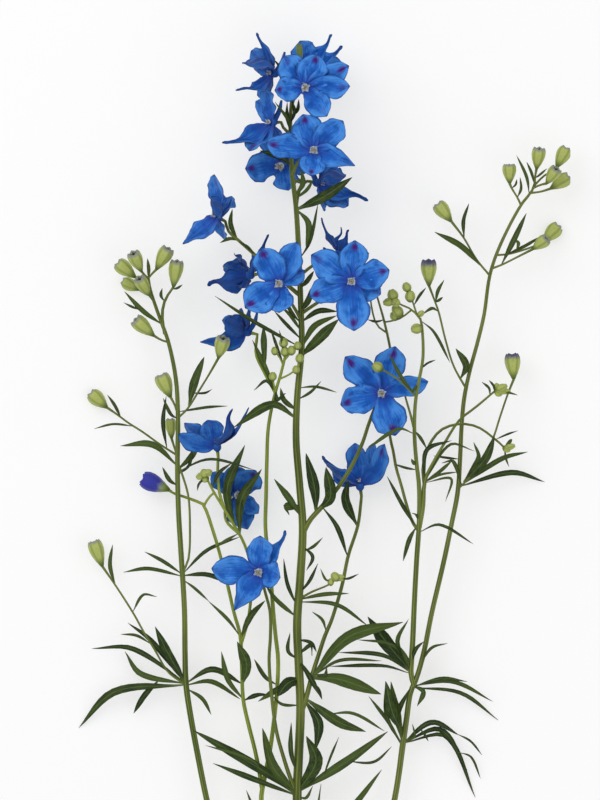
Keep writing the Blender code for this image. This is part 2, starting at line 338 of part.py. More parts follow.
# Leaf blades: the node, then base, middle and tip (x, y, z), and the full width
leafBlades = (
    # bracts among the blooms
    ("main_stem", (-2, 295, 35), (13, 302, 42), (26, 311, 45), 4.6),
    ("main_stem", (-1.4, 294.8, 35), (4.4, 288, 38), (3, 276, 38), 2.8),
    ("main_stem", (-3, 302, 35), (1.6, 308, 38), (0.6, 315.4, 39), 2.6),
    ("main_stem", (-1.8, 300.6, 35), (3.4, 305, 38), (6.8, 310.4, 39), 1.6),
    ("main_stem", (-4, 317, 35.4), (-10, 321.6, 38), (-20, 324.4, 40), 3),
    ("main_stem", (-4.4, 333, 35.5), (-6, 340, 41.6), (-12.4, 348.4, 47), 1.6),
    ("main_stem", (-4.4, 334, 35.5), (-6.6, 342, 39), (-6.4, 348.6, 40), 1.8),
    ("main_stem", (-4.6, 338, 35.5), (-2.6, 344, 39), (-4.6, 350.6, 42), 1.7),
    ("main_stem", (-4.6, 341, 35.5), (-1.2, 345, 38), (-0.6, 350, 41), 1.6),
    ("main_stem", (-2.4, 358, 35.8), (-7.4, 363, 44), (-12.8, 369.4, 48), 2.2),
    ("main_stem", (-31, 280.2, 30.5), (-34.6, 288, 33), (-33.8, 295.4, 34), 2.2),
    ("main_stem", (-30.6, 279.6, 30.5), (-35, 280.6, 31), (-40, 278.6, 30), 1.6),
    ("main_stem", (-22.4, 272.2, 29.5), (-26, 276.4, 32), (-30.4, 279.2, 33), 1.3),
    ("main_stem", (0, 256, 33.6), (3.6, 259.4, 37), (7, 264.4, 40), 2.2),
    ("main_stem", (0.2, 270, 34), (4.8, 279, 38), (9, 298, 40), 1.6),
    ("main_stem", (0.4, 238, 32.6), (-5.4, 246, 36), (-6.6, 254, 38), 1.8),
    ("main_stem", (0.2, 244, 33), (4.4, 250.6, 37), (5.6, 256, 40), 2.8),
    ("main_stem", (0.8, 230, 32.2), (-7, 238, 36), (-13, 244.6, 38), 1.6),
    ("main_stem", (0.6, 234, 32.4), (-4.6, 242, 35), (-9.6, 247, 37), 1.6),
    # bracts below the blooms
    ("main_stem", (0.8, 226, 32), (-24, 239.6, 43), (-42.4, 251.8, 46), 1.9),
    ("main_stem", (0.6, 222, 31.8), (8.4, 229.4, 36), (19.4, 240.4, 38), 4.8),
    ("main_stem", (0.8, 226, 32), (7.2, 237, 36), (18.4, 242.2, 38), 2.8),
    ("main_stem", (0.6, 239, 32.7), (9.4, 244.6, 36), (19, 244.2, 38), 2.6),
    ("main_stem", (-2, 191, 29.8), (-14, 198, 34), (-33, 186.4, 34), 4.2),
    ("main_stem", (-2, 195, 30), (-8.2, 200, 33), (-9.8, 206, 34), 2.6),
    ("main_stem", (-1.4, 200, 30.4), (5.4, 204, 34), (10.6, 209.4, 35), 1.3),
    ("main_stem", (-1, 206, 30.8), (8, 206.6, 33), (18.6, 203.8, 33), 1.2),
    ("centre_branch", (-12, 204.6, 31.4), (-17.4, 216, 33.4), (-23.8, 230, 32.6), 2.4),
    ("centre_branch", (-18.2, 216, 32.6), (-17.8, 226, 35), (-18.2, 237.6, 35), 3),
    ("centre_branch", (-12.6, 204, 31), (-17, 209.6, 34), (-23, 204.8, 35), 1.4),
    ("centre_branch", (-12.2, 205, 31.4), (-11.2, 200, 33), (-7.2, 203.4, 35), 2.2),
    ("centre_branch", (-8.4, 218, 36), (-13, 231, 40.2), (-14.8, 235.6, 42), 1.4),
    ("centre_branch", (-7.8, 222, 37.2), (-9.2, 230, 40), (-10.4, 234.8, 40), 1.2),
    # branch and leaves at the right of the main stem
    ("main_stem", (8, 143.6, 27), (7.4, 156, 32), (3, 173.4, 34), 4.8),
    ("main_stem", (9.4, 145, 27.3), (15.4, 152, 32), (13, 166.4, 34), 5.4),
    ("main_stem", (11.2, 146.6, 27.6), (18.6, 136.6, 30), (23.8, 121.6, 26), 2.2),
    ("main_stem", (28.9, 136.6, 12.6), (23, 150, 16.6), (24.2, 159.6, 21), 4.2),
    ("main_stem", (2, 141, 26), (-5, 150, 31), (-13, 160.6, 32), 3),
    ("main_stem", (1.6, 146.4, 26.4), (-7.4, 146.6, 32), (-5.4, 142.6, 32), 3.6),
    ("main_stem", (1.4, 127, 25), (6.4, 121.4, 28), (3.2, 114.6, 28), 1.6),
    ("main_stem", (1.6, 124, 24.8), (6.4, 126.6, 28), (11.4, 131.2, 29), 1.4),
    ("main_stem", (-0.6, 103, 22.8), (4.8, 109.4, 26), (9, 118.2, 27), 1.6),
    ("main_stem", (-0.8, 100, 22.6), (12, 102.8, 26), (24.6, 103.2, 25), 1.9),
    ("main_stem", (-0.8, 99, 22.5), (18.4, 97.6, 25.4), (34.2, 86.8, 23), 1.9),
    ("main_stem", (12.4, 84, 20.2), (11.2, 90, 21.4), (6, 94, 21), 1.4),
    ("main_stem", (17, 109.6, 25.2), (13, 110, 26.4), (10.2, 115.6, 27), 1.1),
    ("main_stem", (19.4, 111.2, 25.4), (24, 110.6, 26.4), (29.4, 113, 26.6), 1.1),
    ("main_stem", (-2, 80, 20.8), (5.6, 78.4, 23), (8.4, 73.6, 23), 1.6),
    ("main_stem", (-2.4, 91, 21.8), (-12, 100, 24), (-17.4, 107.6, 24.6), 2.2),
    ("main_stem", (-1.4, 96, 22.2), (-6.2, 108, 26), (-8.2, 120.6, 29), 1.8),
    # large cut leaves of the main stem
    ("main_stem", (5.6, 60.4, 19.8), (24, 81.4, 26), (51.6, 88.8, 24), 5.6),
    ("main_stem", (6.4, 60.4, 19.9), (19, 60.4, 23), (40.6, 52.6, 19), 5.6),
    ("main_stem", (6.6, 61.6, 20), (20, 69.6, 24), (41, 69.4, 24), 1.6),
    ("main_stem", (7, 62.6, 20), (12.6, 62.4, 23), (13.4, 66.4, 24.6), 1.8),
    ("main_stem", (6, 58.6, 19.6), (9, 55, 22), (11, 50, 22), 1.8),
    ("main_stem", (2.6, 50.4, 18.6), (20, 38.4, 21), (33, 33.8, 18), 4.4),
    ("main_stem", (2.4, 49.4, 18.4), (9.4, 38, 21), (7.8, 24.6, 20), 4.4),
    ("main_stem", (14, 43.4, 20.4), (26.4, 43, 21), (42.4, 34, 17), 1.6),
    ("main_stem", (0, 57.6, 18.6), (-9, 56, 22), (-21, 49, 22), 2.8),
    ("main_stem", (0, 47, 17.8), (-9, 47.6, 21), (-14, 52, 22), 1.4),
    # lowest leaf of the picture
    ("main_stem", (-1.6, 2, 13.4), (-20, 15.4, 20), (-53.4, 34.4, 17.4), 4.4),
    ("main_stem", (-1.6, 3, 13.5), (-14.4, 15.4, 22.5), (-18.8, 35.6, 23.6), 2.4),
    ("main_stem", (-2, 1.6, 13.3), (-26, 11.4, 20.6), (-43.6, 17.8, 15.6), 2.8),
    ("main_stem", (-14, 13.6, 18.6), (-26, 20.4, 21), (-47.6, 27, 18.4), 1.4),
    ("main_stem", (-1.4, 3, 13.5), (8, 19, 19), (3.2, 31.6, 20), 4.4),
    ("main_stem", (-0.8, 3, 13.5), (23, 18.4, 19), (44, 33.8, 17), 4.2),
    ("main_stem", (11, 11.6, 17), (15.4, 21.6, 20), (19.4, 31, 20), 1.2),
    ("main_stem", (24, 18.4, 18.9), (37, 18.6, 18), (46.2, 26.4, 16), 1.3),
    ("main_stem", (-1, 1.4, 13.3), (3, 0.4, 15), (6.4, 6.4, 17), 1.4),
    # leaf below the picture's edge
    ("main_stem", (0, -32, 9.8), (24.6, -6, 15), (41, 14.6, 13.6), 3.4),
    ("main_stem", (0, -31, 9.8), (7.4, -12, 14.6), (10.6, 7.4, 14), 1.6),
    ("main_stem", (0, -34, 9.6), (-17, -20, 7.2), (-27, 4, 4.6), 2.8),
    ("main_stem", (0, -35, 9.6), (13, -24, 13), (27, -24, 8), 2.8),
)
leafBlades = leafBlades + (
    # left side stem, lower node
    ("left_lateral", (-57.4, 57.6, 13.1), (-66.6, 74, 17), (-72.6, 86.4, 18), 4.2),
    ("left_lateral", (-58, 58.6, 13.2), (-75, 79.4, 12), (-86.4, 88, 8), 2.6),
    ("left_lateral", (-58.4, 58.4, 13), (-84, 75.4, 14), (-104.6, 75.2, 9), 2.4),
    ("left_lateral", (-58.6, 57, 12.8), (-80, 62.6, 9), (-88, 73.6, 3), 2.6),
    ("left_lateral", (-58.4, 56.6, 12.6), (-93, 53.4, 8), (-111.4, 35, 0), 3.6),
    ("left_lateral", (-71, 58.4, 10.8), (-78, 52, 9), (-83.6, 42.6, 5), 2.8),
    ("left_lateral", (-57, 58, 13.2), (-44, 65, 12.4), (-28.6, 57.2, 7.5), 2.8),
    ("left_lateral", (-56.8, 57, 13), (-44.6, 58.6, 9), (-30, 49.6, 4), 2.2),
    ("left_lateral", (-56.4, 55.4, 12.8), (-49, 50, 12), (-44.6, 42, 9), 1.8),
    ("left_lateral", (-84, 93.6, 14.8), (-78.6, 102.4, 17), (-71.8, 101.4, 17), 1.4),
    ("left_lateral", (-92.6, 107, 12), (-95.2, 117, 13.4), (-94, 127.4, 14), 2),
    ("left_lateral", (-74.6, 77.6, 16.3), (-82, 82, 19), (-90, 82.6, 19), 1.3),
    # left side stem, middle node
    ("left_lateral", (-59, 112.6, 14.8), (-69, 119.4, 18), (-78, 124, 18), 1.7),
    ("left_lateral", (-59, 111.6, 14.7), (-76, 115.6, 17), (-88.6, 113.6, 14), 1.9),
    ("left_lateral", (-58.6, 112, 14.6), (-46.6, 112.6, 14.6), (-33.6, 107.6, 12.6), 2.4),
    ("left_lateral", (-58.6, 112.6, 14.8), (-46.6, 124.6, 15.4), (-30, 131.4, 12.4), 1.7),
    ("left_lateral", (-58.8, 110, 14.6), (-52.8, 105.6, 16), (-45.6, 99, 15), 1.3),
    # left side stem, upper nodes
    ("left_lateral", (-61.6, 167, 16), (-74, 177.6, 19), (-90, 177, 17), 2.9),
    ("left_lateral", (-84.4, 187.4, 15.6), (-93.6, 188, 16.4), (-103.2, 185.6, 14), 1.2),
    ("left_lateral", (-91.6, 192.6, 13.6), (-93.4, 198, 15.4), (-96.6, 202.6, 16), 1.6),
    ("left_lateral", (-66.6, 175.6, 16.4), (-68.6, 189, 20), (-67, 202, 21), 1.9),
    ("left_lateral", (-61.4, 190.6, 16.4), (-64.8, 193, 20), (-68.6, 201, 22), 1.6),
    ("left_lateral", (-61, 165, 16), (-54.4, 172, 20), (-50, 180, 21), 2.8),
    ("left_lateral", (-61, 164, 16), (-44.6, 170.4, 29), (-22.6, 165, 30), 1.3),
    ("left_lateral", (-61, 162.4, 15.8), (-55.4, 167.6, 20), (-54, 176, 21), 1.3),
    ("left_lateral", (-61.4, 157, 15.8), (-65.6, 160, 18), (-69, 166.4, 19), 1.9),
    ("left_lateral", (-55.6, 197, 17.6), (-53, 208, 20), (-48, 221.6, 21), 4),
    ("left_lateral", (-51.6, 203, 18.5), (-47.6, 203.6, 20), (-44, 205.4, 20.6), 1.1),
    ("left_lateral", (-61, 194, 16.5), (-46, 196.4, 21.5), (-36, 197, 22.5), 1.3),
    ("left_lateral", (-68.6, 237.6, 17.4), (-78.6, 244.6, 20), (-88, 254.4, 20), 2.2),
    ("left_lateral", (-79, 245, 20), (-83.6, 246.4, 20.6), (-88.4, 248.8, 20.6), 1.1),
    ("left_lateral", (-68, 249.4, 19), (-69.6, 252.4, 20.6), (-69, 256, 21.6), 1.4),
    ("left_lateral", (-64, 255.6, 20.4), (-61.6, 256, 21.4), (-58.8, 257.8, 22), 1.1),
    ("left_lateral", (-76, 260.6, 18.6), (-75.8, 265.6, 20.6), (-76.4, 271, 21.6), 1.6),
    # thin branch left of the main stem
    ("centre_branch", (-28.8, 57.6, 18.2), (-28.2, 67.6, 22), (-33.4, 78, 23), 4.2),
    ("centre_branch", (-26.6, 49.6, 17.8), (-21.4, 52.4, 20.6), (-16, 52.4, 20.8), 2.2),
    ("centre_branch", (-30, 81.4, 18.5), (-36, 90, 21.4), (-46, 99.4, 21), 1.6),
    ("centre_branch", (-29.8, 80.4, 18.4), (-24.6, 92, 20), (-17.4, 99.6, 20.6), 2.8),
    ("centre_branch", (-29.6, 133, 19), (-29.6, 150, 22.4), (-19.2, 165.4, 24), 4.4),
    ("centre_branch", (-32.6, 136.4, 20.4), (-36.4, 155, 22.6), (-27.6, 177.4, 25), 4.2),
    ("centre_branch", (-30.4, 133.4, 19.2), (-37, 129.6, 22), (-43.6, 125.4, 21.6), 1.4),
    ("centre_branch", (-44, 155.4, 25.6), (-40.6, 163.4, 28), (-34, 168.6, 29), 1.6),
    ("centre_branch", (-48.4, 161, 26.4), (-50.6, 158, 27.4), (-51.4, 154.6, 27), 1.1),
    ("centre_branch", (-11.2, 57, 18.8), (-17.4, 61, 17), (-23, 70, 14), 2),
)
leafBlades = leafBlades + (
    # right side stem, lower node
    ("right_lateral", (51.6, 27.6, 12), (66, 38.2, 14), (80, 31.6, 8), 2.6),
    ("right_lateral", (51.8, 27.8, 11.8), (70.4, 34.6, 9), (84, 14, 2.5), 2.4),
    ("right_lateral", (52, 27.4, 11.4), (73.4, 31, 6.4), (88.2, 0, 0), 2.2),
    ("right_lateral", (78.6, 32.4, 8.6), (85.6, 28.6, 6.4), (91.4, 21.6, 4), 1.1),
    ("right_lateral", (80.4, 23.6, 5.6), (86, 20.6, 4.4), (90.8, 9.6, 2), 1.1),
    ("right_lateral", (54, 29.4, 12), (57.6, 31.4, 14.6), (56.4, 37.4, 15.6), 1.2),
    ("right_lateral", (60.6, 34.6, 13.4), (62.4, 32.4, 15), (64.4, 28.8, 15), 1.1),
    ("right_lateral", (50.8, 26.8, 11.8), (43.6, 41, 16.4), (42.8, 59, 17), 2),
    ("right_lateral", (51, 28, 11.8), (48.4, 44, 16), (45.6, 58.8, 16), 4),
    ("right_lateral", (50.6, 27, 11.6), (44.6, 38, 14), (34.4, 51.4, 12), 1.8),
    ("right_lateral", (51.6, 32, 12), (49, 42, 13.4), (55, 55.4, 16.4), 2.4),
    # right side stem, fork
    ("right_lateral", (55.4, 56.4, 12.8), (71, 60.2, 13), (84, 58.6, 9), 1.7),
    ("right_lateral", (56, 56.6, 12.6), (77, 58.6, 10.4), (97, 48.4, 4), 1.9),
    ("right_lateral", (56, 55.8, 12.4), (80.6, 52.8, 7.4), (99.6, 39, 0), 1.9),
    ("right_lateral", (56.8, 56.6, 12.8), (62, 53.6, 16), (58.8, 46.4, 15), 2.4),
    ("right_lateral", (60.6, 68, 13.2), (66, 75.8, 15.6), (74, 78, 15), 1.3),
    ("right_inner_lateral", (55.2, 64, 15.2), (46.4, 69, 20), (34, 91.4, 21), 6),
    ("right_inner_lateral", (54.9, 63, 15), (41.6, 72, 19), (19.4, 73.4, 15), 2),
    ("right_inner_lateral", (54.9, 62.4, 14.9), (42, 66.8, 17), (14.6, 66.4, 14), 1.7),
    ("right_inner_lateral", (55.2, 64.6, 15.3), (48.8, 79, 20.4), (54.4, 90.4, 23.4), 2),
    ("right_inner_lateral", (55.2, 66, 15.6), (46, 77.4, 22.6), (28.6, 80, 23), 1.5),
    ("right_inner_lateral", (55.8, 68, 15.8), (58, 75, 19), (62, 79, 20), 1.9),
    ("right_inner_lateral", (55, 64, 15.2), (53.4, 70, 19), (50, 76.6, 21), 2),
    # inner stem, middle
    ("right_inner_lateral", (60, 133.6, 22.4), (70, 137.6, 25.4), (87, 127.8, 23), 1.4),
    ("right_inner_lateral", (58.8, 136, 22.4), (51.4, 147.4, 26), (43.6, 161.8, 27), 1.9),
    ("right_inner_lateral", (58.8, 137, 22.6), (55, 130.6, 26), (51.6, 119.4, 25), 2.2),
    ("right_inner_lateral", (58.8, 139, 22.8), (58.2, 142.6, 25), (56, 143.4, 26), 1.2),
    ("right_inner_lateral", (56.8, 183, 29.6), (49.4, 185.6, 31), (33, 175.2, 25.6), 1.7),
    ("right_inner_lateral", (58.6, 165, 27), (53, 166, 28), (47, 168, 27), 1.2),
    ("right_inner_lateral", (58.4, 168, 27.4), (57, 168.4, 29), (55.6, 170.6, 29.4), 1.6),
    ("right_inner_lateral", (57.4, 185, 29.8), (60.6, 180.6, 31), (63.4, 175.6, 30.6), 1.5),
    ("right_inner_lateral", (62.4, 159, 24.4), (63.4, 175, 27.6), (76, 179.8, 27), 2),
    ("right_inner_lateral", (62.6, 159.4, 24.2), (75, 177.6, 25), (87.4, 174.4, 21), 1.3),
    ("right_inner_lateral", (62.6, 159, 24.2), (69, 163.6, 26), (76.4, 170, 26.4), 1.8),
    ("right_inner_lateral", (62.6, 158.6, 24.1), (69.6, 162.4, 25.4), (79, 164, 24.4), 1.2),
    ("right_inner_lateral", (62.6, 158.4, 24), (75.6, 160.6, 24.4), (72.8, 149, 23), 1.2),
    # inner stem, top
    ("right_inner_lateral", (58.2, 201.8, 32.2), (50.6, 211.4, 33.8), (44.4, 223.2, 33.4), 1.7),
    ("right_inner_lateral", (58.8, 207.6, 33), (57.4, 206, 34.4), (56, 203.4, 34.4), 1.6),
    ("right_inner_lateral", (61, 215.6, 33.9), (63.6, 218.4, 35.4), (67.6, 220, 36), 1.1),
    ("right_inner_lateral", (60.2, 239.6, 36), (66.8, 234, 37.4), (75, 218.6, 34), 1.4),
    ("right_inner_lateral", (57.6, 247.4, 36.6), (59.6, 252, 38.2), (63, 256.2, 38.6), 1.3),
    ("right_inner_lateral", (41.8, 240, 24.2), (38, 239.2, 26.6), (33.6, 240.2, 28), 1.2),
    ("right_inner_lateral", (96.2, 201, 27), (94.6, 206, 28.2), (91, 209, 28.6), 1.3),
    ("right_inner_lateral", (99, 204.6, 27.4), (96.6, 207.4, 29), (94.4, 210, 29.4), 1.1),
    ("right_inner_lateral", (102, 204.4, 27), (105.6, 203.4, 28), (109, 202.4, 28), 1),
    ("right_inner_lateral", (102.4, 176, 22), (103, 171, 23), (104.6, 166.6, 22.6), 1),
    ("right_inner_lateral", (98, 180.4, 22), (104, 183, 23.4), (109, 184.6, 23.4), 1),
    ("right_inner_lateral", (102.6, 176.4, 22), (106, 180, 23.6), (105.8, 179, 24.6), 1.6),
    # outer stem
    ("right_lateral", (80.4, 157.4, 15.8), (106, 163.6, 10), (123, 158.8, 0), 2.5),
    ("right_lateral", (81.6, 158.6, 16.2), (101, 170.6, 16.4), (114.4, 174, 11), 2.4),
    ("right_lateral", (82, 159, 16.8), (89.6, 171, 21.4), (87, 178.8, 22), 2.6),
    ("right_lateral", (82.2, 158.8, 17), (92.6, 170.6, 22.8), (97.4, 182, 23.6), 4.2),
    ("right_lateral", (81, 158, 16.2), (76.6, 169.4, 20.6), (71, 168.4, 20.6), 1.8),
    ("right_lateral", (79.6, 170.4, 15.9), (74, 171, 13), (67, 172, 10.6), 1.1),
    ("right_lateral", (80.4, 210.6, 16.8), (83.2, 217.4, 20.4), (78, 225.8, 22), 3.2),
    ("right_lateral", (69.4, 244.4, 19.3), (66, 246, 21.4), (61, 242.8, 22), 1.6),
    ("right_lateral", (67.8, 248.4, 19.8), (69, 254.6, 22), (72.2, 260.2, 23), 1.6),
    ("right_lateral", (68, 249, 19.8), (69.6, 250, 21), (71.6, 251.6, 21.6), 1.3),
    ("right_lateral", (91.4, 266.6, 18.2), (80.6, 277.4, 20), (67.4, 284.2, 19.6), 2.9),
    ("right_lateral", (82.4, 281, 17.4), (81.8, 290, 20), (84.6, 298.4, 21), 1.9),
    ("right_lateral", (100.8, 268, 19.2), (107.4, 280.6, 22.4), (113.4, 293.6, 22), 2.6),
    ("right_lateral", (107.8, 280.4, 21.4), (109.4, 278.4, 23.6), (108.4, 275, 24), 1.6),
    ("right_lateral", (104, 272.4, 18.6), (112.6, 277.2, 20.6), (121, 282.2, 20), 1.6),
    ("right_lateral", (109, 301.4, 20.8), (110.8, 306, 23), (110.2, 311.4, 24), 1.4),
    ("right_lateral", (114.2, 303.4, 20.9), (113.4, 311.6, 24), (108.4, 322.4, 25), 1.5),
    ("right_lateral", (117.6, 307.6, 21.3), (116, 313.6, 22.6), (113.4, 319.4, 23), 1.3),
    ("right_lateral", (117.8, 311, 22), (120.4, 313, 25), (123.6, 315.8, 26.6), 1.1),
    ("right_lateral", (105.6, 305.8, 20.5), (108, 308, 21.6), (108.6, 310.6, 22.4), 1),
)

# Shapes, as lists of points and triangles in millimetres


def smoothPath(points, count):
    """Points evenly spaced along a smooth curve through the given ones."""
    knots = [0.0]
    for first, second in zip(points, points[1:]):
        knots.append(knots[-1] + math.dist(first[:3], second[:3]))
    slopes = []
    last = len(points) - 1
    for index in range(len(points)):
        before = max(index - 1, 0)
        after = min(index + 1, last)
        span = knots[after] - knots[before]
        slopes.append([(b - a) / span for a, b in zip(points[before], points[after])])
    path = []
    for step in range(count + 1):
        place = knots[-1] * step / count
        index = 0
        while index < last - 1 and knots[index + 1] < place:
            index += 1
        span = knots[index + 1] - knots[index]
        t = (place - knots[index]) / span
        h00 = 2 * t**3 - 3 * t**2 + 1
        h10 = (t**3 - 2 * t**2 + t) * span
        h01 = 3 * t**2 - 2 * t**3
        h11 = (t**3 - t**2) * span
        path.append([h00 * p + h10 * m + h01 * q + h11 * n for p, m, q, n
                     in zip(points[index], slopes[index], points[index + 1], slopes[index + 1])])
    return path


def pathLength(points):
    return sum(math.dist(a[:3], b[:3]) for a, b in zip(points, points[1:]))


def pathFrames(path):
    """Tangent, side and upper direction at each point, carried along without twist."""
    spots = [Vector(point[:3]) for point in path]
    frames = []
    up = Vector((0, 0, 1))
    for index in range(len(spots)):
        ahead = spots[min(index + 1, len(spots) - 1)] - spots[max(index - 1, 0)]
        tangent = ahead.normalized()
        if index == 0 and abs(tangent.z) > 0.9:
            up = Vector((0, 1, 0))
        side = up.cross(tangent).normalized()
        up = tangent.cross(side).normalized()
        frames.append((tangent, side, up))
    return frames


def ringTriangles(ringCount, sides):
    """Side walls between rings of points, and a flat end at each side."""
    triangles = []
    for ring in range(ringCount - 1):
        for corner in range(sides):
            a = ring * sides + corner
            b = ring * sides + (corner + 1) % sides
            triangles.append((a, b, b + sides))
            triangles.append((a, b + sides, a + sides))
    start = (ringCount - 1) * sides
    for corner in range(1, sides - 1):
        triangles.append((0, corner + 1, corner))
        triangles.append((start, start + corner, start + corner + 1))
    return triangles


def tube(path, sides):
    """A stem along a path of (x, y, z, radius), with one flat side underneath."""
    points = []
    for spot, (tangent, side, up) in zip(path, pathFrames(path)):
        for corner in range(sides):
            angle = 2 * math.pi * (corner + 0.5) / sides - math.pi / 2
            around = side * math.cos(angle) + up * math.sin(angle)
            points.append(Vector(spot[:3]) + spot[3] * around)
    return points, ringTriangles(len(path), sides)


def bladePath(route, outline):
    """The middle of a blade at its root, at each place of its outline, and at its tip."""
    path = smoothPath(route, bladeSteps)
    places = (0.0, *(place for place, share in outline), 1.0)
    return [path[round(place * bladeSteps)] for place in places]


def blade(route, width, thickness, outline, facing, fold, wave):
    """A thin leaf or sepal: raised midrib, edges folded up and waved, pointed ends."""
    spine = [Vector(point) for point in bladePath(route, outline)]
    points = [spine[0]]
    for number, (place, share) in enumerate(outline, 1):
        tangent = (spine[number + 1] - spine[number - 1]).normalized()
        side = facing.cross(tangent).normalized()
        normal = tangent.cross(side).normalized()
        middle = spine[number]
        half = 0.5 * width * share
        lift = fold * half
        ripple = wave * half * math.sin(2.6 * number + width)
        points.append(middle - side * half + normal * (lift + ripple))
        points.append(middle - normal * thickness * 0.5)
        points.append(middle + side * half + normal * (lift - ripple))
        points.append(middle + normal * thickness * 0.5)
    points.append(spine[-1])
    tip = len(points) - 1
    triangles = []
    for corner in range(4):
        following = (corner + 1) % 4
        triangles.append((0, 1 + following, 1 + corner))
        triangles.append((tip - 4 + corner, tip - 4 + following, tip))
        for ring in range(len(outline) - 1):
            a = 1 + ring * 4 + corner
            b = 1 + ring * 4 + following
            if corner in (0, 2):
                triangles.append((a, b, b + 4))
                triangles.append((a, b + 4, a + 4))
            else:
                triangles.append((a, b, a + 4))
                triangles.append((b, b + 4, a + 4))
    return points, triangles


def turned(base, axis, profile, sides):
    """A body of (height, radius) rings around an axis, closed flat at both ends."""
    axis = Vector(axis).normalized()
    helper = Vector((1, 0, 0)) if abs(axis.x) < 0.8 else Vector((0, 1, 0))
    side = axis.cross(helper).normalized()
    up = axis.cross(side).normalized()
    points = []
    for height, radius in profile:
        for corner in range(sides):
            angle = 2 * math.pi * corner / sides
            around = side * math.cos(angle) + up * math.sin(angle)
            points.append(Vector(base) + axis * height + around * radius)
    return points, ringTriangles(len(profile), sides)


def budPath(base, tip, width, route):
    """Stalk and bud in one: slim stalk, club-shaped bud, widest above the middle."""
    path = [(*point, budStalkRadius) for point in route]
    for place, share in budOutline:
        spot = Vector(base).lerp(Vector(tip), place)
        path.append((*spot, 0.5 * width * share))
    return path


def tinyBud(foot, middle, width):
    """A bud like a small lemon, from its seat to a blunt point."""
    foot = Vector(foot)
    middle = Vector(middle)
    along = middle - foot
    if along.length < 0.6:
        along = Vector((0, 1, 0.2))
        middle = foot + along
    side = along.cross(Vector((0.3, 0.2, 1))).normalized()
    up = along.cross(side).normalized()
    points = [foot - along.normalized() * 0.3]
    for corner in range(tinyBudSides):
        angle = 2 * math.pi * corner / tinyBudSides
        points.append(middle + 0.5 * width * (side * math.cos(angle) + up * math.sin(angle)))
    points.append(middle + along.normalized() * 0.7 * width)
    triangles = []
    for corner in range(tinyBudSides):
        following = (corner + 1) % tinyBudSides
        triangles.append((0, 1 + following, 1 + corner))
        triangles.append((1 + corner, 1 + following, 1 + tinyBudSides))
    return points, triangles


def sepalRoute(middle, facing, tip, layer):
    """Out from the middle of the bloom, cupped forwards, to the sepal's tip."""
    reach = tip - middle
    normal = (facing - reach.normalized() * facing.dot(reach.normalized())).normalized()
    start = middle + facing * layer
    forwards = facing.dot(reach.normalized())
    outward = (reach - facing * facing.dot(reach)).normalized()
    opening = outward * cupWidth * max(forwards - cupStart, 0.0)
    belly = start + reach * 0.4 - normal * 0.06 * reach.length + opening
    shoulder = start + reach * 0.8 - normal * 0.03 * reach.length
    return (start + opening * 0.3, belly, shoulder, tip), normal


def sepal(middle, facing, tip, width, layer, outline):
    route, normal = sepalRoute(middle, facing, Vector(tip), layer)
    return blade(route, width, sepalThickness, outline, normal, sepalFold, sepalWave)


def taperedTube(path, sides):
    """A tube that starts and ends in a point."""
    points, triangles = tube(path[1:-1], sides)
    first = len(points)
    points = points + [Vector(path[0][:3]), Vector(path[-1][:3])]
    walls = triangles[:2 * sides * (len(path) - 3)]
    end = (len(path) - 3) * sides
    for corner in range(sides):
        following = (corner + 1) % sides
        walls.append((first, following, corner))
        walls.append((end + corner, end + following, first + 1))
    return points, walls


def stalkEnd(name):
    """Where the stalk stops, just short of the back of its bloom."""
    middle, facing, sepals = bloomPlaces[name]
    back = Vector(facing).normalized() * (receptacleDepth + jointGap)
    return Vector(middle) - back

# Objects


def material(name, color, roughness):
    finish = bpy.data.materials.new(name)
    finish.use_nodes = True
    shader = finish.node_tree.nodes["Principled BSDF"]
    shader.inputs["Base Color"].default_value = (*color, 1.0)
    shader.inputs["Roughness"].default_value = roughness
    shader.inputs["Metallic"].default_value = 0.0
    finish.diffuse_color = (*color, 1.0)
    return finish


def meshObject(name, solid):
    points, triangles = solid
    mesh = bpy.data.meshes.new(name)
    shift = Vector(restOffset)
    mesh.from_pydata([(point + shift) * millimetre for point in points], [], triangles)
    mesh.update()
    thing = bpy.data.objects.new(name, mesh)
    bpy.context.scene.collection.objects.link(thing)
    return thing


def keepLargestBody(mesh):
    """Drop the loose scraps and sealed hollows that a union can leave."""
    shape = bmesh.new()
    shape.from_mesh(mesh)
    left = set(shape.faces)
    bodies = []
    while left:
        body = [left.pop()]
        for face in body:
            for edge in face.edges:
                for other in edge.link_faces:
                    if other in left:
                        left.discard(other)
                        body.append(other)
        bodies.append(body)
    bodies.sort(key=lambda body: sum(face.calc_area() for face in body))
    scraps = [face for body in bodies[:-1] for face in body]
    bmesh.ops.delete(shape, geom=scraps, context="FACES")
    edges = list(shape.edges)
    corners = list(shape.verts)
    bmesh.ops.dissolve_limit(shape, angle_limit=flatAngle, verts=corners, edges=edges)
    bmesh.ops.triangulate(shape, faces=list(shape.faces))
    shape.to_mesh(mesh)
    shape.free()


def joinedMesh(node, solids):
    """The union of a node's first solid with all its others."""
    gather = bpy.data.collections.new("gather_" + node.name)
    bpy.context.scene.collection.children.link(gather)
    for solid in solids[1:]:
        piece = meshObject("piece", solid)
        bpy.context.scene.collection.objects.unlink(piece)
        gather.objects.link(piece)
    union = node.modifiers.new("union", "BOOLEAN")
    union.operation = "UNION"
    union.solver = "MANIFOLD"
    union.operand_type = "COLLECTION"
    union.collection = gather
    graph = bpy.context.evaluated_depsgraph_get()
    joined = bpy.data.meshes.new_from_object(node.evaluated_get(graph))
    node.modifiers.clear()
    for piece in list(gather.objects):
        bpy.data.objects.remove(piece)
    bpy.data.collections.remove(gather)
    keepLargestBody(joined)
    return joined


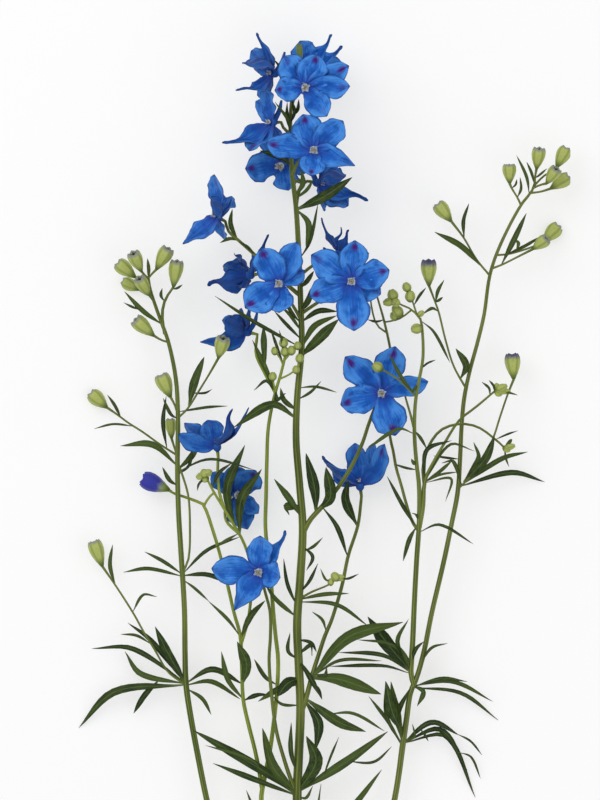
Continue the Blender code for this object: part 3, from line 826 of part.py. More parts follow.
def fused(name, solids, finish):
    """One named object and one body for all the solids that have grown together."""
    node = meshObject(name, solids[0])
    if len(solids) > 1:
        node.data = joinedMesh(node, solids)
        node.data.name = name
    node.data.materials.clear()
    node.data.materials.append(finish)
    node.data.shade_smooth()
    node.data.set_sharp_from_angle(angle=sharpAngle)


def stemSidesFor(radius):
    if radius > 2:
        return stemSides
    if radius > 1.35:
        return 6
    if radius > 0.95:
        return 5
    return 4 if radius > 0.62 else 3


def stemPath(route):
    step = stemStep * route[0][3] ** 0.5
    fewest = min(len(route) - 1, 4)
    return smoothPath(route, max(fewest, round(pathLength(route) / step)))


def mainStemPath(route):
    """A straight flat-bottomed length at the cut end, then the smooth curve."""
    straight = [(0.0, cutEndY, restHeight, stemRadius), (0.0, flatEndY, restHeight, stemRadius)]
    return straight + smoothPath(route, mainStemSteps)


def nearestSpot(point, first, second):
    along = second - first
    share = (point - first).dot(along) / max(along.dot(along), 1e-9)
    return first + along * min(max(share, seatShare), 1.0 - seatShare)


def seatOn(axes, point):
    """The nearest place on the middle line of what has grown so far."""
    point = Vector(point)
    best = point
    gap = seatReach
    for axis in axes:
        for first, second in zip(axis, axis[1:]):
            spot = nearestSpot(point, Vector(first[:3]), Vector(second[:3]))
            if (spot - point).length < gap:
                gap = (spot - point).length
                best = spot
    return best


def leafRoute(axes, number, base, middle, tip):
    """A blade's middle line from its seat, and the direction that its face looks in."""
    lean = math.radians(leafLean) * math.sin(2.4 * number)
    along = (Vector(tip) - Vector(base)).normalized()
    facing = Vector((0, 0, 1)) + along.cross(Vector((0, 0, 1))) * math.tan(lean)
    return (seatOn(axes, base), Vector(middle), Vector(tip)), facing


def greenSolids(node):
    """All the stems, stalks, buds and leaves that grow together as one node."""
    solids = []
    axes = []

    def grow(path, sides=None):
        axes.append(path)
        solids.append(tube(path, sides or stemSidesFor(path[0][3])))

    for owner, route in stemRoutes:
        if owner == node:
            isTrunk = node == "main_stem"
            grow(mainStemPath(route) if isTrunk else stemPath(route))
    for owner, bloom, route in stalkRoutes:
        if owner == node:
            end = stalkEnd(bloom)
            near = end - Vector(bloomPlaces[bloom][1]).normalized() * stalkLead
            seat = seatOn(axes, route[0][:3])
            path = stemPath(((*seat, route[0][3]), *route[1:], (*near, stalkRadius)))
            grow(path + [(*end, stalkRadius)])
    for owner, base, tip, width, route in budPlaces:
        if owner == node:
            seat = seatOn(axes, route[0])
            grow(budPath(base, tip, width, (seat, *route[1:])), budSides)
    for owner, route in twigRoutes:
        if owner == node:
            seat = seatOn(axes, route[0][:3])
            grow(stemPath(((*seat, route[0][3]), *route[1:])))
    for number, (owner, base, middle, tip, width) in enumerate(leafBlades):
        if owner == node:
            route, facing = leafRoute(axes, number, base, middle, tip)
            isLong = math.dist(base, tip) > longLeaf
            outline = leafOutline if isLong else bractOutline
            axes.append(bladePath(route, outline))
            solids.append(blade(route, width, bladeThickness, outline, facing, leafFold, leafWave))
    for owner, middle, width in tinyBudPlaces:
        if owner == node:
            solids.append(tinyBud(seatOn(axes, middle), middle, width))
    return solids


def spurLine(facing):
    """Which way a spur bends, and its length."""
    rise = Vector(spurRise) - facing * facing.dot(Vector(spurRise))
    if rise.length > 0.5:
        return rise.normalized(), spurLength
    rise = Vector((0, 0, -1)) + facing * facing.z
    return rise.normalized(), shortSpur * spurLength


def bloomSolids(name):
    """The sepals, spur and base of one bloom, and separately its small pale centre."""
    middle, facing, sepals = bloomPlaces[name]
    facing = Vector(facing).normalized()
    middle = Vector(middle)
    profile = ((0.0, 1.15), (0.6 * receptacleDepth, receptacleRadius),
               (receptacleDepth + receptacleRise, 1.8))
    back = middle - facing * receptacleDepth
    solids = [turned(back, facing, profile, bloomSides)]
    for number, (tip, width) in enumerate(sepals):
        outline = tailedOutline if number in tailedSepals.get(name, ()) else sepalOutline
        solids.append(sepal(middle, facing, tip, width, -0.45 * (number % 2), outline))
    rise, length = spurLine(facing)
    root = middle - facing * 1.2
    bend = root - facing * spurBack[0] * length + rise * spurUp[0] * length
    end = root - facing * spurBack[1] * length + rise * spurUp[1] * length
    places = zip((root, bend, end), spurRadii)
    spur = smoothPath([(*place, radius) for place, radius in places], 3)
    solids.append(taperedTube(spur, 4))
    size = centreSizes.get(name, 1.0)
    front = middle + facing * (receptacleRise + jointGap)
    core = ((0.0, 1.5 * size), (1.6 * size, centreRadius * size), (4.0 * size, 0.9 * size))
    return solids, [turned(front, facing, core, centreSides)]

greenNodes = {
    "main_stem": ((0.10, 0.20, 0.04), 0.55),
    "left_lateral": ((0.13, 0.23, 0.05), 0.55),
    "right_lateral": ((0.13, 0.23, 0.05), 0.55),
    "right_inner_lateral": ((0.14, 0.24, 0.05), 0.55),
    "centre_branch": ((0.20, 0.30, 0.06), 0.55),
}
sepalColor = (0.02, 0.13, 0.62)
centreColor = (0.62, 0.58, 0.46)


def clearScene():
    for thing in list(bpy.data.objects):
        bpy.data.objects.remove(thing)


def buildPlant():
    clearScene()
    for node, (color, roughness) in greenNodes.items():
        fused(node, greenSolids(node), material(node + "_green", color, roughness))
    blue = material("sepal_blue", sepalColor, 0.6)
    cream = material("centre_cream", centreColor, 0.7)
    for name in bloomPlaces:
        sepals, core = bloomSolids(name)
        fused(name, sepals, blue)
        fused(name + "_centre", core, cream)


buildPlant()
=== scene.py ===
# Branching delphinium: fine sepals, pale centres, ribbed stems, buds and leaves over the plain solids
import math
import random

import bpy
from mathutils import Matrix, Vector


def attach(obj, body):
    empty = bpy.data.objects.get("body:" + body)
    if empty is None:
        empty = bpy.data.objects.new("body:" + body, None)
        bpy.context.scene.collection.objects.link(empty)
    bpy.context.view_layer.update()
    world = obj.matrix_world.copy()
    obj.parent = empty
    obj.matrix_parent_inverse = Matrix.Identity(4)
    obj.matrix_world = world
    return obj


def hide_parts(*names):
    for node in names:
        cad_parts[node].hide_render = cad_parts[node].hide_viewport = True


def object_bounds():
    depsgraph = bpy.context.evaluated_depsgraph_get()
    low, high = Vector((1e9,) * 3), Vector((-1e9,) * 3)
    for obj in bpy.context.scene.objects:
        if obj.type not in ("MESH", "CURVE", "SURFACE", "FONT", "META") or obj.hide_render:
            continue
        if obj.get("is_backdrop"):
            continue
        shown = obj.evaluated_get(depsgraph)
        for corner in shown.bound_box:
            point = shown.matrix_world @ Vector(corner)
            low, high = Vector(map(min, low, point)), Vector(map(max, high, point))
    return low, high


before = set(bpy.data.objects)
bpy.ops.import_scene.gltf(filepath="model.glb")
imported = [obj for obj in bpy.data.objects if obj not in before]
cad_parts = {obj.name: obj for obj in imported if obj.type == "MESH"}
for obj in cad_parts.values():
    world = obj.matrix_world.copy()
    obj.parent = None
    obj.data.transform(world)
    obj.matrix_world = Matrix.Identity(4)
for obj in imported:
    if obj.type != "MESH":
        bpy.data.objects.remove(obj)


def noteSize(stage, notes):
    notes[stage] = [[float(value) for value in corner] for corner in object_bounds()]


sizeNotes = {}
noteSize("frame", sizeNotes)

# Everything below is drawn in millimetres, then moved to the frame and scaled to metres
millimetre = 0.001
restOffset = Vector((0.0, 170.0, 0.0))
inset = 0.00005     # how far, in metres, the pieces stay inside the plain solids' box
clearance = 0.35    # from a bloom to its stalk and to its centre, as between the plain solids
trunkRadius = 2.9
restHeight = trunkRadius * math.cos(math.pi / 8)    # the trunk's middle line above the table
greenNodes = ("main_stem", "left_lateral", "right_lateral", "right_inner_lateral", "centre_branch")


# Stems and branches of each node: points (x, y, z, radius) along the middle of each stem
stemRoutes = {
    "main_stem": (
        ((0.0, -146.0, restHeight, 2.9), (0.8, -110, 3.6, 2.8), (1.2, -70, 6.2, 2.7), (0.0, -30, 10, 2.6),
         (-1.5, 0, 13.2, 2.5), (-0.8, 20, 15.2, 2.45), (0.2, 45, 17.6, 2.4), (-0.6, 66, 19.6, 2.35),
         (-1.5, 88, 21.6, 2.3), (0.0, 110, 23.4, 2.25), (1.3, 136, 25.6, 2.15), (-0.3, 158, 27.4, 2.0),
         (-2.0, 180, 29, 1.9), (-1.4, 202, 30.6, 1.8), (0.8, 226, 32, 1.65), (0.3, 248, 33.2, 1.55),
         (-0.6, 272, 34.2, 1.45), (-2.0, 296, 35, 1.35), (-4.2, 316, 35.4, 1.25), (-4.6, 345, 35.5, 1.0),
         (-1.5, 362, 36, 0.8), (-0.4, 368, 36.6, 0.7)),
    ),
    "left_lateral": (
        ((-4.95, -146, 2.6, 1.7), (-7, -132, 3.4, 1.75), (-14, -112, 4.6, 1.75), (-26, -80, 6.5, 1.7),
         (-37, -42, 8.5, 1.7), (-47, 0, 10.5, 1.6), (-51, 20, 11.5, 1.6), (-54.7, 40, 12.3, 1.6),
         (-57.2, 57, 13, 1.6), (-57.7, 72, 13.5, 1.5), (-58, 95, 14.2, 1.45), (-59.5, 120, 15, 1.45),
         (-61, 145, 15.6, 1.4), (-61.5, 168, 16, 1.35), (-61.2, 190, 16.4, 1.25),
         (-62.2, 210, 16.8, 1.15), (-66, 229, 17, 1.05), (-71, 243, 17.5, 0.95), (-75, 255, 18, 0.85),
         (-76, 261, 18.5, 0.75)),
        ((-67.8, 233, 17.1, 0.95), (-69, 240, 17.6, 0.85), (-68.6, 247, 18.6, 0.8),
         (-66.6, 252, 19.6, 0.7), (-63.8, 256, 20.5, 0.6)),
        ((-59, 113, 14.8, 0.65), (-55.8, 121, 16.8, 0.6), (-55.2, 139, 18.6, 0.6), (-56, 152, 18.8, 0.6),
         (-58.5, 161, 17.8, 0.6), (-61, 168, 16.4, 0.6)),
    ),
    "right_lateral": (
        ((4.95, -140, 2.6, 1.7), (8.5, -127, 3.4, 1.75), (18, -105, 4.8, 1.75), (30, -72, 6.8, 1.7),
         (40, -36, 8.8, 1.65), (47.5, 0, 10.5, 1.6), (49.8, 14, 11.2, 1.6), (51.5, 27, 11.8, 1.65),
         (53.4, 40, 12.2, 1.55), (55.3, 53, 12.6, 1.5), (58.6, 61, 12.9, 1.4), (62.2, 74, 13.3, 1.4),
         (66, 93, 13.9, 1.35), (72.3, 120, 14.6, 1.35), (76, 138, 15.1, 1.3), (79, 153.5, 15.5, 1.3),
         (80.2, 170, 15.8, 1.2), (81, 187, 16, 1.15), (82.3, 201, 16.2, 1.15), (85.2, 215, 16.4, 1.05),
         (89, 229, 16.8, 1.05), (92.3, 243, 17.2, 1.0), (94.8, 261, 18, 0.95), (98, 272, 18.6, 0.9),
         (104, 285.5, 19.4, 0.85), (110.9, 298, 20.4, 0.8), (116, 304.5, 21, 0.7),
         (117.6, 309, 21.4, 0.55)),
    ),
    "right_inner_lateral": (
        ((57.2, 56.5, 12.8, 1.3), (55.6, 62.5, 14.4, 1.45), (55.9, 70, 16, 1.5), (56.5, 80, 17, 1.5),
         (57.2, 97, 18.4, 1.45), (58.4, 120, 20.5, 1.4), (59.6, 138, 22.7, 1.35), (59.6, 156, 25.5, 1.2),
         (58.2, 169, 27.5, 1.1), (57.2, 183, 29.5, 1.05), (57.6, 198, 31.5, 0.95), (59.1, 208, 33, 0.9),
         (61.4, 221, 34.5, 0.85), (61, 236, 35.5, 0.75), (60, 241, 36, 0.6)),
        ((59.8, 136, 22.5, 1.2), (61.6, 147, 23.6, 1.2), (62.2, 158, 24.2, 1.1), (64.6, 165, 25.2, 0.8),
         (72.9, 179.5, 26.5, 0.75), (79.8, 190, 27, 0.7), (88, 196.5, 27, 0.65),
         (97.6, 204.6, 26.8, 0.55)),
        ((62.2, 157, 24.0, 0.9), (61.5, 166.5, 23.4, 0.8), (64.5, 177, 22.6, 0.8), (70.6, 185, 22, 0.75),
         (79.8, 188, 21.8, 0.7), (89, 186.5, 22, 0.65), (98.2, 180, 22, 0.6), (102.5, 176, 22, 0.55)),
        ((59.3, 134.5, 22.3, 1.0), (56, 139.5, 21.5, 0.9), (53.5, 147, 20, 0.85), (50.8, 157, 18, 0.8),
         (48.2, 166, 16, 0.8), (46.8, 174, 14, 0.8), (45, 183, 11, 0.75), (45.6, 195, 9, 0.75),
         (46.2, 208, 10, 0.7), (46, 220, 13.5, 0.7), (45, 227, 17, 0.7), (42, 240, 24, 0.65),
         (38.5, 252, 30, 0.5)),
        ((42.9, 234, 20.8, 0.55), (38.5, 237.5, 22.5, 0.5), (36.3, 244, 24.5, 0.5),
         (35.2, 251, 26, 0.45)),
        ((42.2, 239, 23.4, 0.5), (46, 239.6, 28, 0.5), (50.5, 241, 33, 0.5), (55.5, 244.8, 36, 0.5)),
        ((57.2, 185, 29.7, 0.8), (55.2, 193, 25, 0.65), (53.2, 200, 19.5, 0.55), (51.5, 207, 15.5, 0.45)),
        ((60, 240.5, 36, 0.6), (56, 245, 36.5, 0.55), (51, 247.3, 37, 0.5), (47.3, 249.5, 37, 0.45)),
        ((58.4, 242.6, 36.2, 0.5), (56.8, 247.4, 36.6, 0.5), (55.4, 252, 37, 0.45)),
    ),
    "centre_branch": (
        ((-3.5, -84, 5.2, 1.5), (-6, -62, 8, 1.45), (-12, -35, 11.5, 1.4), (-17.5, -12, 14.5, 1.35),
         (-19.5, 0, 15.5, 1.3), (-17.5, 12, 16.5, 1.25), (-15, 25, 17.5, 1.2), (-13, 40, 18.2, 1.15),
         (-11.5, 55, 18.8, 1.1), (-11, 70, 19, 1.1), (-12.3, 82, 19, 1.1), (-13.5, 95, 18.6, 1.1),
         (-15, 115, 18.2, 1.1), (-17.3, 135, 19, 1.05), (-17, 152, 20.5, 1.05), (-16.6, 170, 22.5, 1.0),
         (-16, 185, 25, 0.95), (-14, 197, 28.6, 0.9), (-12, 205, 31.5, 0.85), (-9.6, 213, 34.5, 0.8),
         (-7.6, 221, 37, 0.75)),
        ((-18.9, 4, 15.8, 1.2), (-20.5, 14, 16.2, 1.15), (-22.5, 24, 16.8, 1.1), (-26, 38, 17.5, 1.1),
         (-28.5, 50, 18, 1.05), (-29.2, 66, 18.3, 1.0), (-30, 82, 18.5, 1.0), (-33, 93, 18.8, 0.95),
         (-36, 106, 19, 0.95), (-40, 122, 19, 0.9), (-43.5, 134, 18.6, 0.9), (-48.5, 147.5, 17.6, 0.85),
         (-53, 149.6, 14.6, 0.8), (-58, 151.4, 12, 0.75), (-62.5, 152.8, 11.3, 0.7),
         (-66, 154.6, 11.6, 0.6)),
        ((-29.7, 77, 18.4, 0.9), (-26, 90, 17, 0.85), (-24.5, 104, 16.5, 0.85), (-25, 118, 17, 0.85),
         (-28, 128, 18.4, 0.8), (-32, 135.5, 20, 0.8), (-38, 145.5, 23, 0.75), (-43.5, 154.5, 25.5, 0.7),
         (-46.5, 160.5, 26.5, 0.6)),
        ((-48.2, 147, 17.6, 0.7), (-45.6, 151.2, 21.6, 0.65), (-43, 153.6, 25.2, 0.6)),
    ),
}

# Flower stalks: the bloom, the node that carries it, then points (x, y, z, radius) up to near the bloom
stalkRoutes = {
    "bloom_01": ("main_stem", ((-4.6, 350, 35.5, 0.9), (-6.5, 356, 38, 0.8))),
    "bloom_02": ("main_stem", ((-4.4, 346, 35.5, 0.9), (-2.5, 351, 42, 0.8), (0.5, 354, 47, 0.8))),
    "bloom_03": ("main_stem", ((-1.5, 361, 35.8, 0.7), (-3.2, 364.5, 30, 0.7), (-3.4, 366.6, 22, 0.7),
                               (-0.5, 366.4, 14, 0.7))),
    "bloom_04": ("main_stem", ((-4.6, 333, 35.5, 0.9), (-8, 335.5, 38, 0.8))),
    "bloom_05": ("main_stem", ((-4, 312, 35.3, 1.0), (-1.5, 318, 42, 0.85), (3.5, 322.5, 48, 0.8))),
    "bloom_06": ("main_stem", ((-3.8, 310, 35, 0.9), (1.2, 308.6, 27, 0.8), (0.8, 309.2, 16, 0.8),
                               (-2.6, 312.8, 8, 0.75))),
    "bloom_07": ("main_stem", ((-1.8, 296, 35, 0.9), (-1, 302, 31, 0.85), (0.6, 307, 25.6, 0.8))),
    "bloom_08": ("main_stem", ((0.4, 252, 33.4, 1.2), (-7, 258, 31.5, 1.1), (-15, 265, 30, 1.0),
                               (-22, 272, 29.5, 0.95), (-31, 280, 30.5, 0.85), (-35.5, 284, 31.5, 0.8))),
    "bloom_09": ("main_stem", ((-14, 264, 30.1, 0.9), (-19, 266, 30.5, 0.8))),
    "bloom_10": ("main_stem", ((0.6, 240, 32.8, 1.0), (-3.5, 247, 38, 0.85), (-8, 254, 45, 0.8))),
    "bloom_11": ("main_stem", ((0.6, 243, 33, 1.0), (7, 247.5, 36, 0.9), (16, 253, 39, 0.8),
                               (23, 257, 43, 0.8))),
    "bloom_12": ("main_stem", ((-0.2, 262, 33.9, 0.95), (6, 267, 31, 0.85), (13, 271, 28, 0.8))),
    "bloom_13": ("centre_branch", ((-12.5, 203.5, 31, 0.85), (-18, 214, 31, 0.8), (-22, 223, 30, 0.8))),
    "bloom_14": ("main_stem", ((1.0, 133, 25.4, 1.5), (5, 140, 26.6, 1.4), (10.8, 146.5, 27.6, 1.35),
                               (18.5, 155.6, 30, 1.15), (25.5, 166.4, 31.5, 1.1), (31, 178, 28.5, 1.0),
                               (34.4, 188, 21.5, 0.95), (38, 197.5, 15.4, 0.9))),
    "bloom_15": ("main_stem", ((0.4, 42, 17.4, 1.5), (3.4, 52, 18.8, 1.4), (6, 62, 20, 1.25),
                               (9.5, 73, 20.4, 1.15), (12.5, 82, 20.2, 1.1), (15.9, 90, 19.6, 1.0),
                               (21, 107, 18, 1.0), (24.2, 122, 16, 0.95), (29, 137, 12.5, 0.9),
                               (30.6, 149, 9.6, 0.85))),
    "bloom_16": ("centre_branch", ((-37.8, 145.2, 22.9, 0.8), (-40.4, 154, 24.4, 0.8),
                                   (-41.2, 165, 25, 0.8))),
    "bloom_17": ("centre_branch", ((-30.4, 133, 19.2, 0.8), (-36.8, 139, 12.6, 0.8),
                                   (-37.4, 146, 6, 0.75))),
    "bloom_18": ("main_stem", ((-1.2, 3, 13.5, 1.3), (-4, 8, 15, 1.2), (-8, 20, 18.6, 1.05),
                               (-12, 35, 22, 1.0), (-14.5, 55, 24.4, 0.95), (-15.5, 70, 25.4, 0.9),
                               (-14.8, 82, 25.8, 0.9), (-15, 94, 26, 0.85), (-17.5, 104, 26.2, 0.8))),
}

# Large buds of each node: base, tip (x, y, z), full width, and points of the stalk that carries it
budPlaces = {
    "left_lateral": (
        ((-72, 265.4, 20.5), (-66, 276, 23), 7.6, ((-76.2, 261, 18.6), (-74.4, 263, 19.4))),
        ((-63.4, 256.6, 20.8), (-61.6, 269.6, 23.5), 7.4, ((-64.6, 255.2, 20.2),)),
        ((-79.4, 264.4, 21.5), (-83.6, 273.6, 26.5), 7.2, ((-76, 261, 18.5), (-77.6, 262.4, 19.8))),
        ((-82.6, 261.6, 16.2), (-91.4, 268.8, 14.5), 7.8, ((-76.3, 260.4, 18.2), (-79.4, 260, 17))),
        ((-80.6, 255.4, 6.2), (-88.6, 259.6, 2.0), 6.6, ((-74, 252, 17.8), (-77, 253, 11.4))),
        ((-75.4, 252.4, 22), (-80.6, 261, 27.5), 6.8, ((-72.8, 248.6, 17.8), (-74, 250.4, 20))),
        ((-73.2, 232.2, 19.6), (-82.6, 240.4, 21.5), 7.8, ((-66, 229, 17), (-69.5, 230, 18.4))),
        ((-64.9, 201.4, 15.2), (-69.8, 212.6, 14.4), 8.2, ((-61.4, 192, 16.2), (-62.8, 197.4, 15.6))),
        ((-40.8, 221, 30), (-38.2, 231.2, 34.6), 7.6,
         ((-61, 191, 16.4), (-56.4, 195.6, 18.6), (-51, 204, 22), (-46, 212, 25.6))),
        ((-64.4, 180.4, 10.4), (-65.2, 190.4, 8.6), 5.6, ((-61.6, 171.5, 15.6), (-63, 176, 12.6))),
        ((-97, 196.2, 5.2), (-105, 203.4, 2.4), 7.8,
         ((-62.4, 172.6, 16), (-70, 177.6, 16), (-79, 184, 14.2), (-86, 188.4, 11.4), (-92, 192.8, 8))),
        ((-99.2, 116.4, 9.5), (-103.6, 129, 8.6), 7.6,
         ((-58.2, 57, 13.2), (-66, 63.5, 15), (-73, 75, 16.4), (-78, 83, 16.2), (-83, 92, 15),
          (-88, 100, 13.4), (-94, 109, 11.2))),
    ),
    "centre_branch": (
        ((-65.6, 154.8, 11.6), (-79, 160.6, 10.2), 9.4, ((-64, 153.6, 11.4),)),
    ),
    "right_lateral": (
        ((75.8, 289.6, 16.4), (69, 298.4, 15), 7.6,
         ((94.8, 262.4, 18), (88.4, 270.5, 18.2), (82, 281.4, 17.4))),
        ((105, 308.4, 20.4), (104.8, 318, 20.8), 7,
         ((110.6, 297.6, 20.4), (108.8, 301.6, 20.8), (106.4, 305.4, 20.6))),
        ((118.4, 315.6, 23), (119.8, 326, 25.5), 7, ((117.6, 309, 21.4), (117.8, 312.4, 22))),
        ((128.6, 316.6, 17.6), (133.6, 326.4, 16), 7.4,
         ((117, 307, 21.2), (121.4, 311.6, 20.4), (125.4, 314.4, 19))),
        ((123.4, 308.4, 25.2), (128.4, 315.8, 29), 6.8, ((116.8, 306, 21.2), (120, 307.6, 23))),
        ((125.6, 306, 17), (134.6, 312, 14.6), 7.2, ((115.4, 303.6, 21), (120.6, 304.4, 19))),
        ((122.4, 279.6, 6), (129.6, 287.4, 2.5), 7.8,
         ((98.2, 272.6, 18.6), (104.6, 273.2, 17.4), (112.4, 275.4, 14), (118.4, 277.6, 9.4))),
        ((116.6, 275.6, 22.2), (123.6, 281, 24.6), 6.6,
         ((96, 265.8, 18.2), (101.6, 268, 19.4), (108.8, 271.6, 21))),
        ((64.6, 257.2, 20.6), (64.4, 270, 22.6), 8,
         ((82.4, 206, 16.4), (77, 217, 17.4), (72.8, 230.5, 18.4), (69.6, 243.6, 19.2), (67, 251, 20))),
        ((107.2, 210.4, 13.4), (106.4, 223, 12.2), 8,
         ((79.4, 155.4, 15.6), (84.4, 160.6, 17.8), (91.4, 169.6, 19.4), (96.8, 181, 19.4),
          (100.4, 192, 17.6), (104.2, 203, 15))),
    ),
    "main_stem": (
        ((0.4, 366.4, 38), (-0.5, 377.6, 36.5), 3.2, ((-0.4, 364.8, 36.6),)),
    ),
}

# Tiny buds of each node, no longer than a lentil: middle, full width
tinyBudPlaces = {
    "right_inner_lateral": (
        ((46.4, 252.2, 37), 4.6), ((44, 248.8, 37.4), 3.6), ((47.8, 248.6, 38.6), 3.8),
        ((48.6, 244.6, 33.4), 4.6), ((47.2, 241.8, 30.6), 3.6), ((53.4, 256.2, 37.4), 3.8),
        ((55, 251.6, 37.4), 4.4), ((58.4, 235.6, 36.2), 4.4), ((60.4, 243.2, 36.8), 2.6),
        ((99.2, 203.6, 27.2), 3.2), ((101.4, 206.4, 28), 3.4), ((98.2, 206.6, 26.4), 2.8),
        ((103.4, 204.4, 26.8), 2.8), ((103.4, 175.6, 22), 3.2), ((105.8, 176.8, 22.4), 2.8),
        ((39, 216.4, 31.8), 4.4),
    ),
    "centre_branch": (
        ((-7.6, 224, 37.6), 3.6), ((-8.2, 228.4, 38), 3.8), ((-12.6, 224.4, 37.4), 3.2),
        ((-4.2, 224.6, 38.4), 3.6), ((-1.2, 227, 38.4), 3.2), ((-0.2, 220.6, 38.6), 3.6),
        ((-2, 215, 37.4), 3.2), ((-13.6, 211.6, 33.6), 3.4), ((-48, 163, 27.4), 3.6),
        ((-50, 161.8, 26.6), 3), ((-46, 163.6, 28.2), 3.2), ((-47.4, 160.4, 26.4), 3),
    ),
    "main_stem": (
        ((17.8, 111.4, 25.6), 3.8), ((20.2, 111, 25.2), 3), ((15.4, 108.8, 25.2), 2.8),
    ),
}

# Thin stalks of each node that carry tiny buds: points (x, y, z, radius)
twigRoutes = {
    "right_inner_lateral": (
        ((57.6, 201.6, 32.2, 0.6), (50, 209.5, 32.6, 0.5), (44, 213.6, 32.2, 0.5),
         (39.6, 216, 31.8, 0.5)),
        ((55.6, 251, 36.9, 0.5), (53.8, 255.4, 37.3, 0.5)),
    ),
    "main_stem": (
        ((0.8, 100, 22.8, 0.7), (6, 104, 24, 0.6), (14, 107.4, 25, 0.5), (19, 111, 25.4, 0.5)),
    ),
    "centre_branch": (
        ((-8.4, 217.6, 35.8, 0.6), (-10, 221, 36.8, 0.5), (-12.4, 224, 37.4, 0.5)),
        ((-7.6, 220.6, 37, 0.6), (-7.8, 224.6, 37.8, 0.55), (-8.2, 228, 38, 0.5)),
        ((-7.8, 219.6, 36.8, 0.6), (-4.6, 223.6, 38.2, 0.5), (-1.4, 226.8, 38.4, 0.5)),
        ((-10.2, 210.4, 33.4, 0.6), (-5, 213, 36, 0.5), (-1, 216.6, 38, 0.5), (-0.2, 220.4, 38.6, 0.5)),
        ((-12.2, 204.6, 31.3, 0.6), (-13.2, 208, 32.6, 0.5), (-13.6, 211.4, 33.4, 0.5)),
        ((-46.4, 160.2, 26.5, 0.6), (-47.8, 162.8, 27.2, 0.5)),
    ),
}

